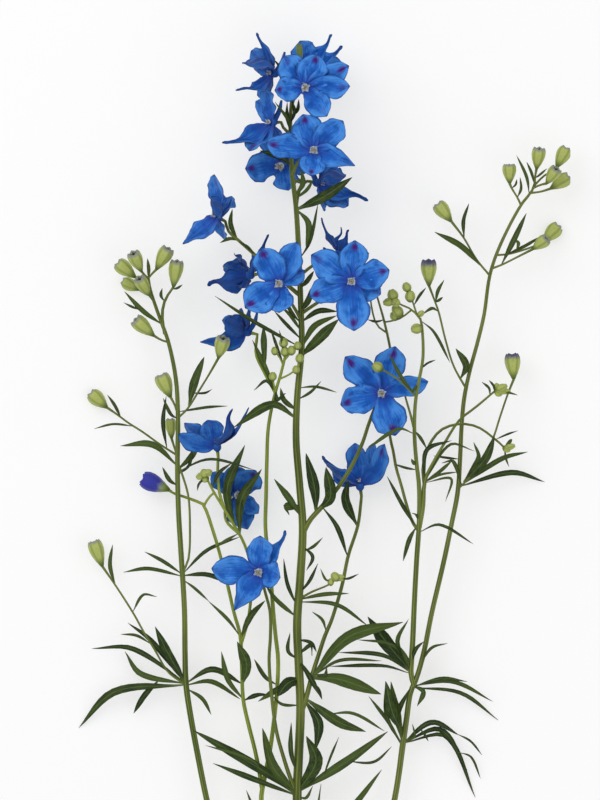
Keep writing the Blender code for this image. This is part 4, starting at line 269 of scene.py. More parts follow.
# Blooms: middle, direction that the bloom faces, and each sepal's tip and full width
bloomPlaces = {
    "bloom_01": ((-13.4, 363, 42), (-0.85, 0.05, 0.5),
                 (((-21.6, 383.2, 44), 12.5), ((-28, 368, 52), 17), ((-32, 354.2, 49), 12),
                  ((-21.4, 352.6, 28), 13), ((-24.5, 374.4, 32), 14))),
    "bloom_02": ((2.4, 355.6, 54), (0.05, -0.05, 1.0),
                 (((-8.4, 371, 56), 14.5), ((9, 371.6, 58), 15.5), ((24.4, 366, 57), 12.5),
                  ((24.8, 355.6, 59), 12), ((13.6, 341.2, 58), 12.5), ((-12.6, 354.2, 57), 12.5))),
    "bloom_03": ((3.6, 366.6, 19.5), (0.25, 0.3, 0.9),
                 (((0.1, 379.8, 25), 15.5), ((16.8, 382.6, 24), 8), ((21.8, 376.2, 21), 10.9),
                  ((22.4, 366, 17), 14.5), ((2.4, 353, 16), 15.9))),
    "bloom_04": ((-14.2, 338.6, 42.5), (-0.75, 0.0, 0.65),
                 (((-17.8, 356, 41), 10.5), ((-38.2, 327.4, 50), 12.5), ((-25.2, 324, 49), 16.5),
                  ((-9.6, 322, 34), 13), ((-22, 349.6, 30), 9))),
    "bloom_05": ((6.6, 324.6, 54), (0.1, -0.1, 1.0),
                 (((1.2, 342, 57), 15.5), ((21.6, 338.6, 58), 14.5), ((27.4, 316.8, 57), 13),
                  ((5.6, 311.4, 59), 13), ((-17, 327.6, 58), 13))),
    "bloom_06": ((-9, 318, 17), (-0.35, -0.3, 0.9),
                 (((-27.4, 315.6, 22), 15.5), ((-6, 305, 16), 13.5), ((6, 318.5, 10), 12),
                  ((0, 335, 15), 13), ((-18, 336, 22), 12.5))),
    "bloom_07": ((9.4, 308.6, 24.5), (0.85, -0.15, 0.35),
                 (((22.6, 311.6, 33), 17), ((34.4, 300.8, 26), 11.2), ((24.2, 297.2, 20), 13.5),
                  ((19, 318, 15), 16.5), ((12, 294.5, 29), 12))),
    "bloom_08": ((-41.6, 291.6, 33), (-0.65, 0.35, 0.65),
                 (((-42.6, 312.4, 41), 14), ((-44.4, 299.6, 49), 10.5), ((-58.4, 277.8, 39), 17),
                  ((-34.4, 302, 27), 13), ((-38.6, 281, 25), 14))),
    "bloom_09": ((-25.6, 262.4, 24.6), (-0.8, -0.1, -0.45),
                 (((-46.6, 258.2, 17), 13.5), ((-38.4, 265.4, 12.5), 14), ((-31.4, 271.4, 9.5), 14),
                  ((-16.2, 283.4, 18.6), 9.5), ((-31.6, 255, 21), 11))),
    "bloom_10": ((-10.2, 258, 52), (-0.15, -0.05, 1.0),
                 (((-19.4, 275.4, 55), 16.5), ((-1.4, 278.6, 55), 12.7), ((2.2, 264.6, 49), 9.9),
                  ((-10.2, 243.4, 56), 13.8), ((-27.2, 245.6, 57), 16))),
    "bloom_11": ((25.6, 259, 50), (0.0, 0.0, 1.0),
                 (((5.8, 272.6, 53), 15.4), ((27.6, 279.4, 54), 14.3), ((44.4, 265, 52), 14.9),
                  ((40.4, 253, 49), 12.7), ((27.2, 234.4, 54), 16.5), ((4.6, 251.8, 54), 14.3))),
    "bloom_12": ((19.6, 273.6, 24), (0.45, 0.75, -0.3),
                 (((10.6, 291.2, 24), 8.2), ((20.8, 286.4, 13), 6.5), ((25, 284.8, 30), 7),
                  ((34.6, 273.4, 22), 15), ((24, 264.5, 14), 15))),
    "bloom_13": ((-27.2, 234.2, 25), (-0.85, 0.2, -0.3),
                 (((-50, 229, 26), 10.5), ((-39, 240.2, 14), 9), ((-29.4, 246, 20), 11),
                  ((-37.6, 239.2, 37), 12), ((-38, 231.6, 18), 6.5), ((-26, 245, 33), 7))),
    "bloom_14": ((40.6, 203.6, 24), (0.05, -0.05, 1.0),
                 (((22.4, 221.4, 27), 14.9), ((47.8, 226.8, 26.5), 15.4), ((64.2, 209, 24), 10.5),
                  ((47.8, 182.2, 28), 17), ((20.2, 197.8, 27.5), 15.4))),
    "bloom_15": ((30, 157.6, 11.5), (-0.12, 0.85, 0.3),
                 (((42.6, 177.8, 27), 10), ((37.6, 178.6, 9), 11), ((11.4, 172.2, 13), 9),
                  ((27.6, 178.4, 6), 12), ((11.8, 169.4, 25), 10))),
    "bloom_16": ((-41.6, 177.4, 27), (-0.1, 0.9, 0.25),
                 (((-34.4, 195.2, 40), 14), ((-25.4, 196, 29), 10.5), ((-46, 190, 19), 13),
                  ((-61, 182.6, 38), 9.5), ((-58, 188.4, 22), 13))),
    "bloom_17": ((-31.8, 152.6, 11), (0.3, -0.1, 0.95),
                 (((-22, 164.6, 15), 14.5), ((-33.6, 167.4, 14), 13), ((-44.6, 163.4, 12), 10),
                  ((-21, 143, 14), 9), ((-26.5, 135, 11), 11), ((-32, 137, 9), 10))),
    "bloom_18": ((-20.6, 114.2, 34), (-0.05, -0.1, 1.0),
                 (((-44.2, 115.6, 38), 14.5), ((-19.6, 132.2, 37), 13), ((-6.6, 134.4, 34), 10.5),
                  ((-9.8, 111.6, 38), 13.5), ((-32.6, 94.8, 38), 14.5))),
}
# Sepals, by number, that end in a narrow drawn-out tail
tailedSepals = {
    "bloom_01": (0, 2), "bloom_03": (1, 2), "bloom_04": (1,), "bloom_07": (1,),
    "bloom_08": (2,), "bloom_09": (0, 3), "bloom_12": (0, 1, 2), "bloom_13": (0,),
    "bloom_15": (2,), "bloom_16": (0, 1), "bloom_18": (2,),
}

# Leaf blades in runs of one node: base, middle and tip (x, y, z), and the full width
leafRuns = (
    ("main_stem", (
        # bracts among the blooms
        ((-2, 295, 35), (13, 302, 42), (26, 311, 45), 4.6),
        ((-1.4, 294.8, 35), (4.4, 288, 38), (3, 276, 38), 2.8),
        ((-3, 302, 35), (1.6, 308, 38), (0.6, 315.4, 39), 2.6),
        ((-1.8, 300.6, 35), (3.4, 305, 38), (6.8, 310.4, 39), 1.6),
        ((-4, 317, 35.4), (-10, 321.6, 38), (-20, 324.4, 40), 3),
        ((-4.4, 333, 35.5), (-6, 340, 41.6), (-12.4, 348.4, 47), 1.6),
        ((-4.4, 334, 35.5), (-6.6, 342, 39), (-6.4, 348.6, 40), 1.8),
        ((-4.6, 338, 35.5), (-2.6, 344, 39), (-4.6, 350.6, 42), 1.7),
        ((-4.6, 341, 35.5), (-1.2, 345, 38), (-0.6, 350, 41), 1.6),
        ((-2.4, 358, 35.8), (-7.4, 363, 44), (-12.8, 369.4, 48), 2.2),
        ((-31, 280.2, 30.5), (-34.6, 288, 33), (-33.8, 295.4, 34), 2.2),
        ((-30.6, 279.6, 30.5), (-35, 280.6, 31), (-40, 278.6, 30), 1.6),
        ((-22.4, 272.2, 29.5), (-26, 276.4, 32), (-30.4, 279.2, 33), 1.3),
        ((0, 256, 33.6), (3.6, 259.4, 37), (7, 264.4, 40), 2.2),
        ((0.2, 270, 34), (4.8, 279, 38), (9, 298, 40), 1.6),
        ((0.4, 238, 32.6), (-5.4, 246, 36), (-6.6, 254, 38), 1.8),
        ((0.2, 244, 33), (4.4, 250.6, 37), (5.6, 256, 40), 2.8),
        ((0.8, 230, 32.2), (-7, 238, 36), (-13, 244.6, 38), 1.6),
        ((0.6, 234, 32.4), (-4.6, 242, 35), (-9.6, 247, 37), 1.6),
        # bracts below the blooms
        ((0.8, 226, 32), (-24, 239.6, 43), (-42.4, 251.8, 46), 1.9),
        ((0.6, 222, 31.8), (8.4, 229.4, 36), (19.4, 240.4, 38), 4.8),
        ((0.8, 226, 32), (7.2, 237, 36), (18.4, 242.2, 38), 2.8),
        ((0.6, 239, 32.7), (9.4, 244.6, 36), (19, 244.2, 38), 2.6),
        ((-2, 191, 29.8), (-14, 198, 34), (-33, 186.4, 34), 4.2),
        ((-2, 195, 30), (-8.2, 200, 33), (-9.8, 206, 34), 2.6),
        ((-1.4, 200, 30.4), (5.4, 204, 34), (10.6, 209.4, 35), 1.3),
        ((-1, 206, 30.8), (8, 206.6, 33), (18.6, 203.8, 33), 1.2),
    )),
    ("centre_branch", (
        ((-12, 204.6, 31.4), (-17.4, 216, 33.4), (-23.8, 230, 32.6), 2.4),
        ((-18.2, 216, 32.6), (-17.8, 226, 35), (-18.2, 237.6, 35), 3),
        ((-12.6, 204, 31), (-17, 209.6, 34), (-23, 204.8, 35), 1.4),
        ((-12.2, 205, 31.4), (-11.2, 200, 33), (-7.2, 203.4, 35), 2.2),
        ((-8.4, 218, 36), (-13, 231, 40.2), (-14.8, 235.6, 42), 1.4),
        ((-7.8, 222, 37.2), (-9.2, 230, 40), (-10.4, 234.8, 40), 1.2),
    )),
    ("main_stem", (
        # branch and leaves at the right of the main stem
        ((8, 143.6, 27), (7.4, 156, 32), (3, 173.4, 34), 4.8),
        ((9.4, 145, 27.3), (15.4, 152, 32), (13, 166.4, 34), 5.4),
        ((11.2, 146.6, 27.6), (18.6, 136.6, 30), (23.8, 121.6, 26), 2.2),
        ((28.9, 136.6, 12.6), (23, 150, 16.6), (24.2, 159.6, 21), 4.2),
        ((2, 141, 26), (-5, 150, 31), (-13, 160.6, 32), 3),
        ((1.6, 146.4, 26.4), (-7.4, 146.6, 32), (-5.4, 142.6, 32), 3.6),
        ((1.4, 127, 25), (6.4, 121.4, 28), (3.2, 114.6, 28), 1.6),
        ((1.6, 124, 24.8), (6.4, 126.6, 28), (11.4, 131.2, 29), 1.4),
        ((-0.6, 103, 22.8), (4.8, 109.4, 26), (9, 118.2, 27), 1.6),
        ((-0.8, 100, 22.6), (12, 102.8, 26), (24.6, 103.2, 25), 1.9),
        ((-0.8, 99, 22.5), (18.4, 97.6, 25.4), (34.2, 86.8, 23), 1.9),
        ((12.4, 84, 20.2), (11.2, 90, 21.4), (6, 94, 21), 1.4),
        ((17, 109.6, 25.2), (13, 110, 26.4), (10.2, 115.6, 27), 1.1),
        ((19.4, 111.2, 25.4), (24, 110.6, 26.4), (29.4, 113, 26.6), 1.1),
        ((-2, 80, 20.8), (5.6, 78.4, 23), (8.4, 73.6, 23), 1.6),
        ((-2.4, 91, 21.8), (-12, 100, 24), (-17.4, 107.6, 24.6), 2.2),
        ((-1.4, 96, 22.2), (-6.2, 108, 26), (-8.2, 120.6, 29), 1.8),
        # large cut leaves of the main stem
        ((5.6, 60.4, 19.8), (24, 81.4, 26), (51.6, 88.8, 24), 5.6),
        ((6.4, 60.4, 19.9), (19, 60.4, 23), (40.6, 52.6, 19), 5.6),
        ((6.6, 61.6, 20), (20, 69.6, 24), (41, 69.4, 24), 1.6),
        ((7, 62.6, 20), (12.6, 62.4, 23), (13.4, 66.4, 24.6), 1.8),
        ((6, 58.6, 19.6), (9, 55, 22), (11, 50, 22), 1.8),
        ((2.6, 50.4, 18.6), (20, 38.4, 21), (33, 33.8, 18), 4.4),
        ((2.4, 49.4, 18.4), (9.4, 38, 21), (7.8, 24.6, 20), 4.4),
        ((14, 43.4, 20.4), (26.4, 43, 21), (42.4, 34, 17), 1.6),
        ((0, 57.6, 18.6), (-9, 56, 22), (-21, 49, 22), 2.8),
        ((0, 47, 17.8), (-9, 47.6, 21), (-14, 52, 22), 1.4),
        # lowest leaf of the picture
        ((-1.6, 2, 13.4), (-20, 15.4, 20), (-53.4, 34.4, 17.4), 4.4),
        ((-1.6, 3, 13.5), (-13.6, 16, 22.5), (-18.8, 35.6, 23.6), 5.2),
        ((-2, 1.6, 13.3), (-26, 11.4, 20.6), (-43.6, 17.8, 15.6), 2.8),
        ((-14, 13.6, 18.6), (-26, 20.4, 21), (-47.6, 27, 18.4), 1.4),
        ((-1.4, 3, 13.5), (8, 19, 19), (3.2, 31.6, 20), 6.2),
        ((-0.8, 3, 13.5), (23, 18.4, 19), (44, 33.8, 17), 4.2),
        ((11, 11.6, 17), (15.4, 21.6, 20), (19.4, 31, 20), 1.2),
        ((24, 18.4, 18.9), (37, 18.6, 18), (46.2, 26.4, 16), 1.3),
        ((-1, 1.4, 13.3), (3, 0.4, 15), (6.4, 6.4, 17), 1.4),
        # leaf below the picture's edge
        ((0, -32, 9.8), (24.6, -6, 15), (41, 14.6, 13.6), 3.4),
        ((0, -31, 9.8), (7.4, -12, 14.6), (10.6, 7.4, 14), 1.6),
        ((0, -34, 9.6), (-17, -20, 7.2), (-27, 4, 4.6), 2.8),
        ((0, -35, 9.6), (13, -24, 13), (27, -24, 8), 2.8),
    )),
    ("left_lateral", (
        # left side stem, lower node
        ((-57.4, 57.6, 13.1), (-66.6, 74, 17), (-72.6, 86.4, 18), 4.2),
        ((-58, 58.6, 13.2), (-75, 79.4, 12), (-86.4, 88, 8), 2.6),
        ((-58.4, 58.4, 13), (-84, 75.4, 14), (-104.6, 75.2, 9), 2.4),
        ((-58.6, 57, 12.8), (-80, 62.6, 9), (-88, 73.6, 3), 2.6),
        ((-58.4, 56.6, 12.6), (-93, 53.4, 8), (-111.4, 35, 0), 3.6),
        ((-71, 58.4, 10.8), (-78, 52, 9), (-83.6, 42.6, 5), 2.8),
        ((-57, 58, 13.2), (-44, 65, 12.4), (-28.6, 57.2, 7.5), 2.8),
        ((-56.8, 57, 13), (-44.6, 58.6, 9), (-30, 49.6, 4), 2.2),
        ((-56.4, 55.4, 12.8), (-49, 50, 12), (-44.6, 42, 9), 1.8),
        ((-84, 93.6, 14.8), (-78.6, 102.4, 17), (-71.8, 101.4, 17), 1.4),
        ((-92.6, 107, 12), (-95.2, 117, 13.4), (-94, 127.4, 14), 2),
        ((-74.6, 77.6, 16.3), (-82, 82, 19), (-90, 82.6, 19), 1.3),
        # left side stem, middle node
        ((-59, 112.6, 14.8), (-69, 119.4, 18), (-78, 124, 18), 1.7),
        ((-59, 111.6, 14.7), (-76, 115.6, 17), (-88.6, 113.6, 14), 1.9),
        ((-58.6, 112, 14.6), (-46.6, 112.6, 14.6), (-33.6, 107.6, 12.6), 2.4),
        ((-58.6, 112.6, 14.8), (-46.6, 124.6, 15.4), (-30, 131.4, 12.4), 1.7),
        ((-58.8, 110, 14.6), (-52.8, 105.6, 16), (-45.6, 99, 15), 1.3),
        # left side stem, upper nodes
        ((-61.6, 167, 16), (-74, 177.6, 19), (-90, 177, 17), 2.9),
        ((-84.4, 187.4, 15.6), (-93.6, 188, 16.4), (-103.2, 185.6, 14), 1.2),
        ((-91.6, 192.6, 13.6), (-93.4, 198, 15.4), (-96.6, 202.6, 16), 1.6),
        ((-66.6, 175.6, 16.4), (-68.6, 189, 20), (-67, 202, 21), 1.9),
        ((-61.4, 190.6, 16.4), (-64.8, 193, 20), (-68.6, 201, 22), 1.6),
        ((-61, 165, 16), (-54.4, 172, 20), (-50, 180, 21), 2.8),
        ((-61, 164, 16), (-44.6, 170.4, 29), (-22.6, 165, 30), 1.3),
        ((-61, 162.4, 15.8), (-55.4, 167.6, 20), (-54, 176, 21), 1.3),
        ((-61.4, 157, 15.8), (-65.6, 160, 18), (-69, 166.4, 19), 1.9),
        ((-55.6, 197, 17.6), (-53, 208, 20), (-48, 221.6, 21), 4),
        ((-51.6, 203, 18.5), (-47.6, 203.6, 20), (-44, 205.4, 20.6), 1.1),
        ((-61, 194, 16.5), (-46, 196.4, 21.5), (-36, 197, 22.5), 1.3),
        ((-68.6, 237.6, 17.4), (-78.6, 244.6, 20), (-88, 254.4, 20), 2.2),
        ((-79, 245, 20), (-83.6, 246.4, 20.6), (-88.4, 248.8, 20.6), 1.1),
        ((-68, 249.4, 19), (-69.6, 252.4, 20.6), (-69, 256, 21.6), 1.4),
        ((-64, 255.6, 20.4), (-61.6, 256, 21.4), (-58.8, 257.8, 22), 1.1),
        ((-76, 260.6, 18.6), (-75.8, 265.6, 20.6), (-76.4, 271, 21.6), 1.6),
    )),
    ("centre_branch", (
        # thin branch left of the main stem
        ((-28.8, 57.6, 18.2), (-26.6, 67.6, 22), (-31.4, 79, 23), 5),
        ((-26.6, 49.6, 17.8), (-21.4, 52.4, 20.6), (-16, 52.4, 20.8), 2.2),
        ((-30, 81.4, 18.5), (-36, 90, 21.4), (-46, 99.4, 21), 1.6),
        ((-29.8, 80.4, 18.4), (-24.6, 92, 20), (-17.4, 99.6, 20.6), 2.8),
        ((-29.6, 133, 19), (-29.6, 150, 22.4), (-19.2, 165.4, 24), 4.4),
        ((-32.6, 136.4, 20.4), (-36.4, 155, 22.6), (-27.6, 177.4, 25), 4.2),
        ((-30.4, 133.4, 19.2), (-37, 129.6, 22), (-43.6, 125.4, 21.6), 1.4),
        ((-44, 155.4, 25.6), (-40.6, 163.4, 28), (-34, 168.6, 29), 1.6),
        ((-48.4, 161, 26.4), (-50.6, 158, 27.4), (-51.4, 154.6, 27), 1.1),
        ((-11.2, 57, 18.8), (-17.4, 61, 17), (-23, 70, 14), 2),
    )),
    ("right_lateral", (
        # right side stem, lower node
        ((51.6, 27.6, 12), (66, 38.2, 14), (80, 31.6, 8), 2.6),
        ((51.8, 27.8, 11.8), (70.4, 34.6, 9), (84, 14, 2.5), 2.4),
        ((52, 27.4, 11.4), (73.4, 31, 6.4), (88.2, 0, 0), 2.2),
        ((78.6, 32.4, 8.6), (85.6, 28.6, 6.4), (91.4, 21.6, 4), 1.1),
        ((80.4, 23.6, 5.6), (86, 20.6, 4.4), (90.8, 9.6, 2), 1.1),
        ((54, 29.4, 12), (57.6, 31.4, 14.6), (56.4, 37.4, 15.6), 1.2),
        ((60.6, 34.6, 13.4), (62.4, 32.4, 15), (64.4, 28.8, 15), 1.1),
        ((50.8, 26.8, 11.8), (43.6, 41, 16.4), (42.8, 59, 17), 2),
        ((51, 28, 11.8), (48.4, 44, 16), (45.6, 58.8, 16), 4),
        ((50.6, 27, 11.6), (44.6, 38, 14), (34.4, 51.4, 12), 1.8),
        ((51.6, 32, 12), (49, 42, 13.4), (55, 55.4, 16.4), 2.4),
        # right side stem, fork
        ((55.4, 56.4, 12.8), (71, 60.2, 13), (84, 58.6, 9), 1.7),
        ((56, 56.6, 12.6), (77, 58.6, 10.4), (97, 48.4, 4), 1.9),
        ((56, 55.8, 12.4), (80.6, 52.8, 7.4), (99.6, 39, 0), 1.9),
        ((56.8, 56.6, 12.8), (62, 53.6, 16), (58.8, 46.4, 15), 2.4),
        ((60.6, 68, 13.2), (66, 75.8, 15.6), (74, 78, 15), 1.3),
    )),
    ("right_inner_lateral", (
        ((55.2, 64, 15.2), (45.2, 76.4, 20), (34, 91.4, 21), 6.6),
        ((54.9, 63, 15), (41.6, 72, 19), (19.4, 73.4, 15), 2),
        ((54.9, 62.4, 14.9), (42, 66.8, 17), (14.6, 66.4, 14), 1.7),
        ((55.2, 64.6, 15.3), (48.8, 79, 20.4), (54.4, 90.4, 23.4), 2),
        ((55.2, 66, 15.6), (46, 77.4, 22.6), (28.6, 80, 23), 1.5),
        ((55.8, 68, 15.8), (58, 75, 19), (62, 79, 20), 1.9),
        ((55, 64, 15.2), (53.4, 70, 19), (50, 76.6, 21), 2),
        # inner stem, middle
        ((60, 133.6, 22.4), (70, 137.6, 25.4), (87, 127.8, 23), 1.4),
        ((58.8, 136, 22.4), (51.4, 147.4, 26), (43.6, 161.8, 27), 1.9),
        ((58.8, 137, 22.6), (55, 130.6, 26), (51.6, 119.4, 25), 2.2),
        ((58.8, 139, 22.8), (58.2, 142.6, 25), (56, 143.4, 26), 1.2),
        ((56.8, 183, 29.6), (49.4, 185.6, 31), (33, 175.2, 25.6), 1.7),
        ((58.6, 165, 27), (53, 166, 28), (47, 168, 27), 1.2),
        ((58.4, 168, 27.4), (57, 168.4, 29), (55.6, 170.6, 29.4), 1.6),
        ((57.4, 185, 29.8), (60.6, 180.6, 31), (63.4, 175.6, 30.6), 1.5),
        ((62.4, 159, 24.4), (63.4, 175, 27.6), (76, 179.8, 27), 2),
        ((62.6, 159.4, 24.2), (75, 177.6, 25), (87.4, 174.4, 21), 1.3),
        ((62.6, 159, 24.2), (69, 163.6, 26), (76.4, 170, 26.4), 1.8),
        ((62.6, 158.6, 24.1), (69.6, 162.4, 25.4), (79, 164, 24.4), 1.2),
        ((62.6, 158.4, 24), (75.6, 160.6, 24.4), (72.8, 149, 23), 1.2),
        # inner stem, top
        ((58.2, 201.8, 32.2), (50.6, 211.4, 33.8), (44.4, 223.2, 33.4), 1.7),
        ((58.8, 207.6, 33), (57.4, 206, 34.4), (56, 203.4, 34.4), 1.6),
        ((61, 215.6, 33.9), (63.6, 218.4, 35.4), (67.6, 220, 36), 1.1),
        ((60.2, 239.6, 36), (66.8, 234, 37.4), (75, 218.6, 34), 1.4),
        ((57.6, 247.4, 36.6), (59.6, 252, 38.2), (63, 256.2, 38.6), 1.3),
        ((41.8, 240, 24.2), (38, 239.2, 26.6), (33.6, 240.2, 28), 1.2),
        ((96.2, 201, 27), (94.6, 206, 28.2), (91, 209, 28.6), 1.3),
        ((99, 204.6, 27.4), (96.6, 207.4, 29), (94.4, 210, 29.4), 1.1),
        ((102, 204.4, 27), (105.6, 203.4, 28), (109, 202.4, 28), 1),
        ((102.4, 176, 22), (103, 171, 23), (104.6, 166.6, 22.6), 1),
        ((98, 180.4, 22), (104, 183, 23.4), (109, 184.6, 23.4), 1),
        ((102.6, 176.4, 22), (106, 180, 23.6), (105.8, 179, 24.6), 1.6),
    )),
    ("right_lateral", (
        # outer stem
        ((80.4, 157.4, 15.8), (106, 163.6, 10), (123, 158.8, 0), 2.5),
        ((81.6, 158.6, 16.2), (101, 170.6, 16.4), (114.4, 174, 11), 2.4),
        ((82, 159, 16.8), (89.6, 171, 21.4), (87, 178.8, 22), 2.6),
        ((82.2, 158.8, 17), (92.6, 170.6, 22.8), (97.4, 182, 23.6), 4.2),
        ((81, 158, 16.2), (76.6, 169.4, 20.6), (71, 168.4, 20.6), 1.8),
        ((79.6, 170.4, 15.9), (74, 171, 13), (67, 172, 10.6), 1.1),
        ((80.4, 210.6, 16.8), (83.2, 217.4, 20.4), (78, 225.8, 22), 3.2),
        ((69.4, 244.4, 19.3), (66, 246, 21.4), (61, 242.8, 22), 1.6),
        ((67.8, 248.4, 19.8), (69, 254.6, 22), (72.2, 260.2, 23), 1.6),
        ((68, 249, 19.8), (69.6, 250, 21), (71.6, 251.6, 21.6), 1.3),
        ((91.4, 266.6, 18.2), (80.6, 277.4, 20), (67.4, 284.2, 19.6), 2.9),
        ((82.4, 281, 17.4), (81.8, 290, 20), (84.6, 298.4, 21), 1.9),
        ((100.8, 268, 19.2), (107.4, 280.6, 22.4), (113.4, 293.6, 22), 2.6),
        ((107.8, 280.4, 21.4), (109.4, 278.4, 23.6), (108.4, 275, 24), 1.6),
        ((104, 272.4, 18.6), (112.6, 277.2, 20.6), (121, 282.2, 20), 1.6),
        ((109, 301.4, 20.8), (110.8, 306, 23), (110.2, 311.4, 24), 1.4),
        ((114.2, 303.4, 20.9), (113.4, 311.6, 24), (108.4, 322.4, 25), 1.5),
        ((117.6, 307.6, 21.3), (116, 313.6, 22.6), (113.4, 319.4, 23), 1.3),
        ((117.8, 311, 22), (120.4, 313, 25), (123.6, 315.8, 26.6), 1.1),
        ((105.6, 305.8, 20.5), (108, 308, 21.6), (108.6, 310.6, 22.4), 1),
    )),
    ("centre_branch", (
        ((-28.6, 50, 17.4), (-36, 60, 19.5), (-39.4, 74, 20.5), 2.6),
    )),
    ("main_stem", (
        ((0, 60.5, 19.4), (-6.4, 58, 23.5), (-11.4, 51.6, 24), 5),
        ((-0.6, 12, 15), (-4.6, 24, 20), (-4.4, 38.6, 20.6), 2.2),
        ((0.6, 70, 20.4), (4, 62.6, 24.6), (10.6, 51, 24), 2.6),
        ((0.4, 72.4, 20.4), (5.6, 77.4, 24), (6, 72, 26), 2),
        ((-0.6, 70, 20), (-6, 74.4, 23.6), (-5, 83.6, 25), 1.7),
    )),
    ("right_inner_lateral", (
        ((51.4, 33.4, 13), (46.2, 44, 18), (43, 59, 18.4), 4.6),
    )),
)

leafBlades = [(node, *blade) for node, blades in leafRuns for blade in blades]


# Smooth curve through the given points, cut into even steps
def smoothPath(points, count):
    knots = [0.0]
    for first, second in zip(points, points[1:]):
        knots.append(knots[-1] + math.dist(first[:3], second[:3]))
    slopes = []
    last = len(points) - 1
    for index in range(len(points)):
        before = max(index - 1, 0)
        after = min(index + 1, last)
        span = knots[after] - knots[before]
        slopes.append([(b - a) / span for a, b in zip(points[before], points[after])])
    path = []
    for step in range(count + 1):
        place = knots[-1] * step / count
        index = 0
        while index < last - 1 and knots[index + 1] < place:
            index += 1
        span = knots[index + 1] - knots[index]
        t = (place - knots[index]) / span
        h00 = 2 * t**3 - 3 * t**2 + 1
        h10 = (t**3 - 2 * t**2 + t) * span
        h01 = 3 * t**2 - 2 * t**3
        h11 = (t**3 - t**2) * span
        path.append([h00 * p + h10 * m + h01 * q + h11 * n for p, m, q, n
                     in zip(points[index], slopes[index], points[index + 1], slopes[index + 1])])
    return path


def evenPath(points, step):
    length = sum(math.dist(a[:3], b[:3]) for a, b in zip(points, points[1:]))
    return smoothPath(points, max(len(points), round(length / step)))


# Nearest place on what has grown so far, so that a root starts inside its stem
def seatOn(axes, point, reach=6.0):
    point = Vector(point)
    best = point
    for axis in axes:
        for first, second in zip(axis, axis[1:]):
            first = Vector(first[:3])
            along = Vector(second[:3]) - first
            share = (point - first).dot(along) / max(along.length_squared, 1e-9)
            spot = first + along * min(max(share, 0.0), 1.0)
            if (spot - point).length < reach:
                reach = (spot - point).length
                best = spot
    return best


# The value of a table at a place along it, its corners eased a little
def tableValue(table, place, ease=0.4):
    for (x0, y0), (x1, y1) in zip(table, table[1:]):
        if place <= x1:
            t = (place - x0) / (x1 - x0)
            t = t * t * (3 - 2 * t) * ease + t * (1 - ease)
            return y0 + (y1 - y0) * t
    return table[-1][1]


# From the drawing to the frame, kept within the room that the plain solids take up
def placed(point):
    point = (point + restOffset) * millimetre
    low, high = sizeNotes["frame"]
    return [min(max(c, a + inset), b - inset) for c, a, b in zip(point, low, high)]


def newThing(name, data):
    thing = bpy.data.objects.new(name, data)
    bpy.context.scene.collection.objects.link(thing)
    return thing


# Shows a finished mesh, riding on the plant in place of a plain solid
def show(mesh, name, node):
    thing = newThing(name, mesh)
    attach(thing, "root")
    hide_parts(node)


# A mesh in the making: points with their place on the piece (u across, v along) and marks
class Skin:
    def __init__(self, *marks):
        self.points = []
        self.faces = []
        self.places = []
        self.marks = {name: [] for name in marks}

    def add(self, point, place, **marks):
        self.points.append(point)
        self.places.append(place)
        for name in self.marks:
            self.marks[name].append(marks.get(name, 0.0))
        return len(self.points) - 1

    # rows of points, each row the same length, joined into a grid; closed rows wrap round
    def grid(self, rows, closed=False, flip=False):
        for low, high in zip(rows, rows[1:]):
            count = len(low)
            for index in range(count if closed else count - 1):
                after = (index + 1) % count
                face = (low[index], low[after], high[after], high[index])
                self.faces.append(face[::-1] if flip else face)

    def cap(self, row, flip=False):
        self.faces.append(tuple(row[::-1] if flip else row))

    # closed rows with a cap at each end
    def tube(self, rows):
        self.grid(rows, closed=True)
        self.cap(rows[0], flip=True)
        self.cap(rows[-1])

    def mesh(self, name):
        mesh = bpy.data.meshes.new(name)
        mesh.from_pydata([placed(point) for point in self.points], [], self.faces)
        mesh.polygons.foreach_set("use_smooth", [True] * len(mesh.polygons))
        return mesh

    def piece(self, name, node, finish):
        mesh = self.mesh(name)
        layer = mesh.uv_layers.new(name="UVMap")
        for loop in mesh.loops:
            layer.data[loop.index].uv = self.places[loop.vertex_index]
        for mark, values in self.marks.items():
            attribute = mesh.attributes.new(mark, "FLOAT", "POINT")
            attribute.data.foreach_set("value", values)
        mesh.materials.append(finish)
        mesh.update()
        show(mesh, name, node)


# Side and upper direction along a path, carried on without twist
def pathFrames(path, up):
    spots = [Vector(point[:3]) for point in path]
    frames = []
    for index in range(len(spots)):
        ahead = spots[min(index + 1, len(spots) - 1)] - spots[max(index - 1, 0)]
        tangent = ahead.normalized()
        side = up.cross(tangent).normalized()
        up = tangent.cross(side).normalized()
        frames.append((spots[index], side, up))
    return frames


shapeLook = {
    "oddUp": (0.13, 0.21, 0.97),    # an upper direction that no path runs along
    "rim": 0.2,                     # share of its thickness that a sheet keeps at its edge
}


# A round body along a path of (x, y, z, radius)
def roundBody(skin, path, sides, **marks):
    rows = []
    last = len(path) - 1
    for index, (spot, side, up) in enumerate(pathFrames(path, Vector(shapeLook["oddUp"]))):
        row = []
        for corner in range(sides):
            angle = 2 * math.pi * corner / sides
            point = spot + path[index][3] * (side * math.cos(angle) + up * math.sin(angle))
            row.append(skin.add(point, (corner / sides, index / last), **marks))
        rows.append(row)
    skin.tube(rows)


